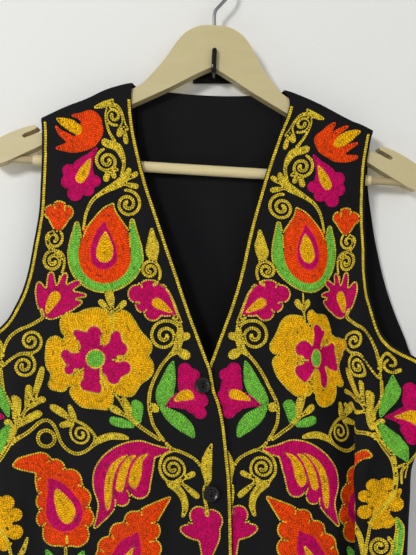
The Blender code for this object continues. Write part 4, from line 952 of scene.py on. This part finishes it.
def spaced(line, step):
    """The line's points again, evenly spaced about step apart."""
    length = np.concatenate(([0], np.cumsum(np.linalg.norm(np.diff(line, axis=0), axis=1))))
    count = max(2, round(length[-1] / step) + 1)
    wanted = np.linspace(0, length[-1], count)
    return np.stack([np.interp(wanted, length, column) for column in line.T], axis=1)


def offset_line(line, distance):
    """The line moved sideways by distance, to the side of growing u for a line that runs down."""
    along = unit(np.gradient(line, axis=0))
    return line + distance * np.stack((along[:, 1], -along[:, 0]), axis=1)


def line_length(line):
    """Length along a line of points."""
    return np.linalg.norm(np.diff(line, axis=0), axis=1).sum()


def sample(field, low, points):
    """Nearest value of a gridded field at each point."""
    column = np.clip(np.rint((points[:, 0] - low[0]) / PATTERN_STEP).astype(int), 0, field.shape[1] - 1)
    row = np.clip(np.rint((points[:, 1] - low[1]) / PATTERN_STEP).astype(int), 0, field.shape[0] - 1)
    return field[row, column]


def split_where(line, keep):
    """The runs of the line's points for which keep is true."""
    edges = np.flatnonzero(np.diff(np.concatenate(([0], keep.astype(int), [0]))))
    return [line[a:b] for a, b in zip(edges[::2], edges[1::2]) if b - a > 2]


def outside_rows(us, ds, inner, outer):
    """How far each place lies outside the rows along the cut's edges; negative inside them."""
    inner_u = np.interp(ds, inner[:, 1], inner[:, 0])
    outer_u = np.interp(ds, outer[:, 1], outer[:, 0], left=SHOULDER_HALF)
    slant_in, slant_out = (np.sqrt(1 + np.gradient(edge, ds) ** 2)[:, None] for edge in (inner_u, outer_u))
    sideways = np.maximum((inner_u[:, None] - us) / slant_in, (us - outer_u[:, None]) / slant_out)
    return np.maximum(sideways, ds[:, None] - HEM) + EDGE_CLEAR


def fill_rows(seen, start, u, d):
    """Rows that fill the seen part of a motif: full ones, and short ones in tips and ridges between them."""
    border = level_lines(seen, 0, start)
    if not border:
        return []
    inside = seen < 0
    depth = np.where(inside, 0.0, -seen)
    dense = np.concatenate([spaced(line, BORDER_STEP) for line in border])
    depth[inside] = distance_to_line(np.stack((u[inside], d[inside]), axis=1), dense)
    rows = []
    level = ROW_SPACING / 2
    while level - FILL_BACK < depth.max():
        full = level_lines(depth, level, start) if level < depth.max() else []
        rows += full
        for line in level_lines(depth, level - FILL_BACK, start):
            bare = np.ones(len(line), bool)
            if full:
                bare = distance_to_line(line, np.concatenate(full)) > FILL_REACH
            rows += split_where(line, bare)
        level += ROW_SPACING
    return rows


def edge_rows(inner, outer):
    """The double row inside the neck and front edges, the armhole and the hem."""
    hem = np.stack((np.linspace(EDGE_U, SIDE_U - 1, HEM_SAMPLES), np.full(HEM_SAMPLES, HEM)), axis=1)
    above_underarm = outer[outer[:, 1] < FRONT_CUT[UNDERARM_ROW, 3]]
    rows = []
    for distance, from_armhole in zip(EDGE_ROWS, ARMHOLE_ROWS):
        neck = offset_line(spaced(inner, EDGE_STEP), distance)
        armhole = offset_line(spaced(above_underarm, EDGE_STEP), -from_armhole)
        low = hem - np.array((0, distance))
        rows += [
            neck[(neck[:, 1] < HEM - distance) & (neck[:, 1] > NECK_ROW_START)],
            armhole[armhole[:, 1] > ARMHOLE_ROW_START], low[low[:, 0] > EDGE_U + distance],
        ]
    return rows


def pattern_rows(side):
    """One front's rows of stitches by thread, the ground colours under them, and where their grid starts."""
    low = PATTERN_START
    us, ds = (np.arange(first, last, PATTERN_STEP) for first, last in zip(low, PATTERN_END))
    grid_u, grid_d = np.meshgrid(us, ds)
    inner, outer = cut_outline()
    outside = outside_rows(us, ds, inner, outer)
    rows = {thread: [] for thread in THREADS}
    cover, ground = np.full(grid_u.shape, FAR), np.full(grid_u.shape, FAR)
    padding = np.zeros(grid_u.shape + (3,))
    for thread, edged, strokes, only in reversed(MOTIFS):
        if only not in (BOTH, side):
            continue
        every = np.concatenate([stroke.points for stroke in strokes])
        margin = max(stroke.radii.max() for stroke in strokes) + MOTIF_MARGIN
        c0, r0 = np.maximum(0, ((every.min(axis=0) - margin - low) / PATTERN_STEP).astype(int))
        c1, r1 = ((every.max(axis=0) + margin - low) / PATTERN_STEP).astype(int) + 1
        window = np.s_[r0:r1, c0:c1]
        u, d, covered, beyond = grid_u[window], grid_d[window], cover[window], outside[window]
        start = np.array((u[0, 0], d[0, 0]))
        wide = [stroke_distance(stroke, u, d) for stroke in strokes if is_wide(stroke)]
        thin = [stroke for stroke in strokes if not is_wide(stroke)]
        body = np.minimum.reduce([np.full(u.shape, FAR)] + wide)
        field = np.minimum.reduce([body] + [stroke_distance(stroke, u, d) for stroke in thin])

        def shown(line):
            """Which points of a line no later motif covers and no edge row takes."""
            return (sample(covered, start, line) > LEAST_SHOWN) & (sample(beyond, start, line) < 0)

        for stroke in thin:
            line = spaced(stroke.points, ROW_SPACING / 2)
            rows[thread] += split_where(line, shown(line) & (sample(body, start, line) > 0))
        if edged:
            for line in level_lines(field, OUTLINE_OFFSET, start):
                rows["gold"] += split_where(line, shown(line))
        seen = np.maximum(np.maximum(body, -covered - UNDERLAP), beyond)
        rows[thread] += fill_rows(seen, start, u, d)
        edge = 2 * OUTLINE_OFFSET if edged else PLAIN_EDGE
        if edged:
            padding[window][(field < edge) & (covered > 0)] = THREADS["gold"]
        padding[window][seen < 0] = THREADS[thread]
        for taken in (ground, cover):
            taken[window] = np.minimum(taken[window], field - edge)
    padding[ground > -PADDING_INSET] = 0
    rows["gold"] += edge_rows(inner, outer)
    long_enough = {
        thread: [line for line in lines if len(line) > 1 and line_length(line) > SHORTEST_ROW]
        for thread, lines in rows.items()
    }
    return long_enough, padding, low


# A link is two strands in a narrow V. Each strand's points: share of the link's length, sideways, height,
# and how its normal leans along the link, sideways and up.
STRAND = np.array((
    (-0.12, 0.32, -0.02, -0.35, 0.0, 0.95), (1.10, 0.40, -0.02, 0.35, 0.0, 0.95),
    (0.55, 0.86, -0.10, 0.0, 0.42, 0.9), (0.50, -0.02, -0.05, 0.0, -0.42, 0.9),
    (0.26, 0.40, 0.32, -0.12, 0.05, 1.0), (0.78, 0.46, 0.30, 0.12, 0.05, 1.0),
))
STRAND_FACES = np.array((
    (0, 4, 2), (2, 4, 5), (2, 5, 1), (0, 3, 4), (3, 5, 4), (3, 1, 5), (0, 2, 3), (2, 1, 3),
))


JITTER = 0.06
PUFF = (0.85, 1.15)


def chain(name, side, lines, material):
    """Every link of these rows on one front, as one mesh of closed strands."""
    places = [spaced(line, LINK_LENGTH) for line in lines]
    start, end = (np.concatenate([line[cut] for line in places]) for cut in (np.s_[:-1], np.s_[1:]))
    draw = np.random.default_rng(len(start))
    start = start + draw.normal(0, JITTER, start.shape)
    along = end - start
    aside = unit(np.stack((-along[:, 1], along[:, 0]), axis=1))
    here = front_point(side, *start.T)
    up = front_normal(side, *start.T)
    ahead = unit(front_point(side, *end.T) - here)
    beside = unit(front_point(side, *(start + aside).T) - here)
    puff = draw.uniform(*PUFF, len(start))
    points, normals, faces = [], [], []
    for hand in (1, -1):
        for share, sideways, height, lean_on, lean_side, lean_up in STRAND:
            place = start + along * share + aside * sideways * hand
            points.append(front_point(side, *place.T) + up * (height * puff)[:, None])
            normals.append(ahead * lean_on + beside * (lean_side * hand) + up * lean_up)
        order = STRAND_FACES if hand * side < 0 else STRAND_FACES[:, ::-1]
        faces.append(order + len(STRAND) * (hand < 0))
    per_link = 2 * len(STRAND)
    points = np.stack(points, axis=1).reshape(-1, 3)
    normals = unit(np.stack(normals, axis=1).reshape(-1, 3))
    faces = (np.concatenate(faces)[None] + per_link * np.arange(len(start))[:, None, None]).reshape(-1, 3)
    tone = np.repeat(draw.uniform(-1, 1, len(start)), per_link)
    return mesh_object(name, points, faces, material, tone, normals)


# ---- finishes --------------------------------------------------------------------------
def node(tree, kind, **settings):
    """A shader node with these settings, or start values where a setting is a socket's name."""
    made = tree.nodes.new("ShaderNode" + kind)
    for name, value in settings.items():
        if hasattr(made, name):
            setattr(made, name, value)
        else:
            made.inputs[name.replace("_", " ")].default_value = value
    return made


def link(tree, source, output, target, socket):
    """Joins one node's output to another node's input, each by name or number."""
    tree.links.new(source.outputs[output], target.inputs[socket])


def math_node(tree, operation, first, second=None):
    """The result of a sum on two numbers or outputs."""
    made = node(tree, "Math", operation=operation)
    for i, value in enumerate((first, second)):
        if isinstance(value, (int, float)):
            made.inputs[i].default_value = value
        elif value is not None:
            tree.links.new(value, made.inputs[i])
    return made.outputs[0]


def colour_mix(tree, share, first, second):
    """A colour between two colour outputs."""
    mix = node(tree, "Mix", data_type="RGBA")
    colours = [socket for socket in mix.inputs if socket.type == "RGBA"]
    for output, socket in zip((share, first, second), (mix.inputs[0], *colours)):
        tree.links.new(output, socket)
    return next(socket for socket in mix.outputs if socket.type == "RGBA")


def effect_group(name, inputs, outputs):
    """An empty node group with named sockets: (name, kind, start value)."""
    tree = bpy.data.node_groups.new(name, "ShaderNodeTree")
    for socket_name, kind, value in inputs:
        socket = tree.interface.new_socket(socket_name, in_out="INPUT", socket_type="NodeSocket" + kind)
        socket.default_value = value
    for socket_name, kind in outputs:
        tree.interface.new_socket(socket_name, in_out="OUTPUT", socket_type="NodeSocket" + kind)
    return tree, tree.nodes.new("NodeGroupInput"), tree.nodes.new("NodeGroupOutput")


def thread_tone():
    """Thread colour with each stitch a little lighter or darker, and slow changes of dye over the motif."""
    tree, given, result = effect_group(
        "Thread tone",
        (("Colour", "Color", (1, 1, 1, 1)), ("Stitch change", "Float", 0.2), ("Dye change", "Float", 0.15)),
        (("Colour", "Color"),),
    )
    stitch = node(tree, "Attribute", attribute_name="tone")
    place = node(tree, "TexCoord")
    dye = node(tree, "TexNoise", Scale=55.0, Detail=2.0)
    link(tree, place, "Object", dye, "Vector")
    by_stitch = math_node(tree, "MULTIPLY", stitch.outputs["Fac"], given.outputs["Stitch change"])
    centred = math_node(tree, "SUBTRACT", dye.outputs["Fac"], 0.5)
    by_dye = math_node(tree, "MULTIPLY", centred, given.outputs["Dye change"])
    value = math_node(tree, "ADD", math_node(tree, "ADD", by_stitch, by_dye), 1.0)
    shade = node(tree, "HueSaturation")
    link(tree, given, "Colour", shade, "Color")
    tree.links.new(value, shade.inputs["Value"])
    link(tree, shade, "Color", result, "Colour")
    return tree


def woven_height():
    """Crossing threads of a plain weave, as a height."""
    tree, given, result = effect_group("Woven height", (("Threads", "Float", 500.0),), (("Height", "Float"),))
    place = node(tree, "TexCoord")
    waves = []
    for direction in ("X", "Z"):
        wave = node(tree, "TexWave", bands_direction=direction, Distortion=0.6, Detail=1.0)
        link(tree, place, "Object", wave, "Vector")
        link(tree, given, "Threads", wave, "Scale")
        waves.append(wave.outputs["Fac"])
    tree.links.new(math_node(tree, "MULTIPLY", *waves), result.inputs["Height"])
    return tree


def wood_colour():
    """Pale board: long soft streaks between two wood colours."""
    tree, given, result = effect_group(
        "Wood colour",
        (("Light", "Color", (1, 1, 1, 1)), ("Dark", "Color", (0, 0, 0, 1)), ("Streaks", "Float", 40.0),
         ("Stretch", "Vector", (1, 1, 1))),
        (("Colour", "Color"), ("Height", "Float")),
    )
    place = node(tree, "TexCoord")
    stretch = node(tree, "Mapping")
    link(tree, given, "Stretch", stretch, "Scale")
    link(tree, place, "Object", stretch, "Vector")
    streak = node(tree, "TexNoise", Detail=6.0, Roughness=0.6)
    link(tree, stretch, "Vector", streak, "Vector")
    link(tree, given, "Streaks", streak, "Scale")
    colour = colour_mix(tree, streak.outputs["Fac"], given.outputs["Dark"], given.outputs["Light"])
    tree.links.new(colour, result.inputs["Colour"])
    link(tree, streak, "Fac", result, "Height")
    return tree


def finish(name, **sockets):
    """A material, its nodes and its main shader, with these shader sockets set."""
    made = bpy.data.materials.new(name)
    made.use_nodes = True
    shader = made.node_tree.nodes["Principled BSDF"]
    for socket, value in sockets.items():
        value = (*value, 1) if isinstance(value, tuple) and len(value) == 3 else value
        shader.inputs[socket.replace("_", " ")].default_value = value
    return made, made.node_tree, shader


def placed(tree, group, **inputs):
    """A copy of an effect in a material, with these inputs set."""
    made = tree.nodes.new("ShaderNodeGroup")
    made.node_tree = group
    for name, value in inputs.items():
        socket = made.inputs[name.replace("_", " ")]
        socket.default_value = (*value, 1) if socket.type == "RGBA" else value
    return made


def raised(tree, effect, shader, strength, distance):
    """Lets an effect's height bump the surface, by metres of distance."""
    bump = node(tree, "Bump", Strength=strength, Distance=distance)
    link(tree, effect, "Height", bump, "Height")
    link(tree, bump, "Normal", shader, "Normal")


TONE_GROUP, WEAVE_GROUP, WOOD_GROUP = thread_tone(), woven_height(), wood_colour()
BLACK = (0.0075, 0.0075, 0.0085)
LAYER_PAIR = 0.0036
EDGE_FACING, DARK_FROM, DARK_SHARE = 0.5, 0.1, 0.75


def thread_finish(name, colour):
    """Embroidery thread in one colour."""
    made, tree, shader = finish("Thread " + name, Roughness=0.6, Specular_IOR_Level=0.015)
    tone = placed(tree, TONE_GROUP, Colour=colour, Stitch_change=0.28, Dye_change=0.42)
    link(tree, tone, "Colour", shader, "Base Color")
    return made


def cloth_finish(name, padded=False):
    """Black cloth; a padded one takes the threads' colours under the stitches, darkened with painted shade
    for the gaps between stitches.
    """
    made, tree, shader = finish(name, Base_Color=BLACK, Roughness=0.85, Specular_IOR_Level=0.06)
    if padded:
        # The threads' colours under the stitches, darkened: painted shade in the gaps between the stitches.
        under = node(tree, "Attribute", attribute_name="padding")
        shaded_padding = node(tree, "VectorMath", operation="MULTIPLY_ADD")
        shaded_padding.inputs[1].default_value = (PADDING_PAINTED_SHADE,) * 3
        shaded_padding.inputs[2].default_value = BLACK
        link(tree, under, "Color", shaded_padding, 0)
        link(tree, shaded_padding, 0, shader, "Base Color")
    raised(tree, placed(tree, WEAVE_GROUP, Threads=900.0), shader, 0.35, 0.0002)
    return made


def board_finish():
    """Plywood: a pale veneer face, and thin light and dark layers on the cut edges."""
    made, tree, shader = finish("Pale plywood", Roughness=0.5, Specular_IOR_Level=0.35)
    veneer = placed(
        tree, WOOD_GROUP, Light=(0.57, 0.49, 0.26), Dark=(0.48, 0.40, 0.205), Streaks=260.0,
        Stretch=(0.08, 1, 0.6),
    )
    layers = placed(
        tree, WOOD_GROUP, Light=(0.46, 0.34, 0.16), Dark=(0.30, 0.20, 0.09), Streaks=60.0, Stretch=(1, 1, 1),
    )
    place = node(tree, "NewGeometry")
    facing, depth = node(tree, "SeparateXYZ"), node(tree, "SeparateXYZ")
    link(tree, place, "True Normal", facing, "Vector")
    link(tree, place, "Position", depth, "Vector")
    is_edge = math_node(tree, "LESS_THAN", math_node(tree, "ABSOLUTE", facing.outputs["Y"]), EDGE_FACING)
    wave = math_node(tree, "SINE", math_node(tree, "MULTIPLY", depth.outputs["Y"], math.tau / LAYER_PAIR))
    dark_band = math_node(tree, "GREATER_THAN", wave, DARK_FROM)
    share = math_node(tree, "MULTIPLY", math_node(tree, "MULTIPLY", is_edge, dark_band), DARK_SHARE)
    colour = colour_mix(tree, share, veneer.outputs["Colour"], layers.outputs["Colour"])
    tree.links.new(colour, shader.inputs["Base Color"])
    return made


def rod_finish(name, light, dark, streaks):
    """A rod with fine lines along it."""
    made, tree, shader = finish(name, Roughness=0.5, Specular_IOR_Level=0.25)
    wood = placed(tree, WOOD_GROUP, Light=light, Dark=dark, Streaks=streaks, Stretch=(0.012, 1, 1))
    link(tree, wood, "Colour", shader, "Base Color")
    raised(tree, wood, shader, 0.3, 0.0003)
    return made


black_cloth, stitched_cloth = cloth_finish("Black cloth"), cloth_finish("Embroidered cloth", padded=True)
threads = {name: thread_finish(name, colour) for name, colour in THREADS.items()}
board = board_finish()
rod = rod_finish("Turned rod", (0.52, 0.42, 0.22), (0.30, 0.23, 0.12), 500.0)
sleeve = rod_finish("Ribbed sleeve", (0.86, 0.74, 0.42), (0.50, 0.40, 0.19), 900.0)
wire = finish("Grey wire", Base_Color=(0.20, 0.205, 0.20), Roughness=0.42, Metallic=1.0)[0]
enamel = finish("Black enamel", Base_Color=(0.004, 0.004, 0.005), Roughness=0.16, Specular_IOR_Level=0.35)[0]
dark_button = finish(
    "Dark button", Base_Color=(0.004, 0.0035, 0.0035), Roughness=0.18, Specular_IOR_Level=0.5
)[0]


def back_outline():
    """The back's outline in x and z. It hangs almost flat, so this is its cut too."""
    rows = np.linspace(0, LAST_ROW, BACK_SAMPLES)
    left, right = (back_edge(side, rows)[:, [0, 2]] for side in (LAPPING, UNDER))
    top_x, _, top_z, _ = back_top(np.linspace(SHOULDER_HALF, -SHOULDER_HALF, BACK_SAMPLES))
    return np.concatenate((left, right[::-1], np.stack((top_x, top_z), axis=-1)))


for side, part in ((LAPPING, "front_over"), (UNDER, "front_under")):
    lines_by_thread, padding, pattern_low = pattern_rows(side)
    grid, places = front_grid(side)
    under = sample(padding, pattern_low, places.reshape(-1, 2))
    panel = shell(part + "_cloth", grid, -1, stitched_cloth, under)
    stitches = [
        chain(f"{part}_{thread}_stitches", side, lines, threads[thread])
        for thread, lines in lines_by_thread.items()
    ]
    for piece in [panel] + stitches:
        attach(piece, "root")
    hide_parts(part)

back_panel = shell("back_cloth", back_grid(), 1, black_cloth)
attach(back_panel, "root")
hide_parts("back")
back_ring = back_outline()

# ---- the solids that keep their shape get their finish ------------------------------------
for part, material in (
    ("hanger_body", board), ("trouser_bar", rod), ("bar_sleeve", sleeve), ("hanger_wire", wire),
    ("hook_rod", enamel), ("hook_plate", enamel),
    ("button_1", dark_button), ("button_2", dark_button), ("button_3", dark_button),
):
    solid = bpy.data.objects[part]
    for socket in solid.material_slots:
        socket.material = material
    if not solid.material_slots:
        solid.data.materials.append(material)

# ---- stage, light and camera ---------------------------------------------------------------
def stage_plane(name, size, location, turn, material):
    """A flat surface of the room."""
    bpy.ops.mesh.primitive_plane_add(size=1, location=location, rotation=turn)
    plane = bpy.context.object
    plane.name = name
    plane.scale = (*size, 1)
    plane.data.materials.append(material)


def wall_finish():
    """Pale plaster that is clear from behind and lets light through to the back of the waistcoat."""
    made, tree, shader = finish(
        "Pale wall", Base_Color=(0.80, 0.80, 0.775), Roughness=0.9, Specular_IOR_Level=0.1
    )
    clear = node(tree, "BsdfTransparent")
    look = node(tree, "LightPath")
    face = node(tree, "NewGeometry")
    through = math_node(tree, "MAXIMUM", face.outputs["Backfacing"], look.outputs["Is Shadow Ray"])
    mix = node(tree, "MixShader")
    output = tree.nodes["Material Output"]
    tree.links.new(through, mix.inputs[0])
    link(tree, shader, 0, mix, 1)
    link(tree, clear, 0, mix, 2)
    link(tree, mix, 0, output, "Surface")
    return made


pale_floor = finish("Pale floor", Base_Color=(0.72, 0.72, 0.70), Roughness=0.85, Specular_IOR_Level=0.2)[0]
stage_plane("wall", (3.0, 2.6), (0, 0.0006, 0.1), (math.radians(90), 0, 0), wall_finish())
stage_plane("floor", (5.0, 5.0), (0, 0, -1.2), (0, 0, 0), pale_floor)


def soft_light(name, place, aim, size, watts):
    """A white rectangular lamp at a place, aimed at another."""
    data = bpy.data.lights.new(name, "AREA")
    data.shape, data.size, data.size_y = "RECTANGLE", *size
    data.energy = watts
    lamp = bpy.data.objects.new(name, data)
    lamp.location = place
    lamp.rotation_euler = (Vector(aim) - Vector(place)).to_track_quat("-Z", "Y").to_euler()
    bpy.context.scene.collection.objects.link(lamp)
    return lamp


soft_light("key light", (-0.85, -1.6, 0.42), (0, 0, -0.25), (0.34, 0.34), 17.2)
soft_light("fill light", (1.2, -1.9, 0.3), (0, 0, -0.3), (1.4, 1.4), 10)
gleam = soft_light("gleam on the buttons", (-1.15, -0.62, -0.58), (0, -0.05, -0.4), (0.4, 1.7), 45)
gleam.visible_diffuse = False
soft_light("back light", (-0.6, 1.7, 0.6), (0, 0, -0.25), (1.2, 1.2), 22)

world = bpy.data.worlds.new("Room")
world.use_nodes = True
background = world.node_tree.nodes["Background"]
background.inputs["Color"].default_value = (1, 1, 1, 1)
background.inputs["Strength"].default_value = 0.35
bpy.context.scene.world = world
bpy.context.scene.view_settings.view_transform = "Standard"

camera_data = bpy.data.cameras.new("Camera")
FOCAL_PIXELS, FRAME_PIXELS = 620, 555
camera_data.sensor_width = 36.0
camera_data.lens = camera_data.sensor_width * FOCAL_PIXELS / FRAME_PIXELS
camera = bpy.data.objects.new("Camera", camera_data)
camera.location = (-0.0053, -0.658, -0.2294)
camera.rotation_euler = (math.radians(90), 0, 0)
bpy.context.scene.collection.objects.link(camera)
bpy.context.scene.camera = camera
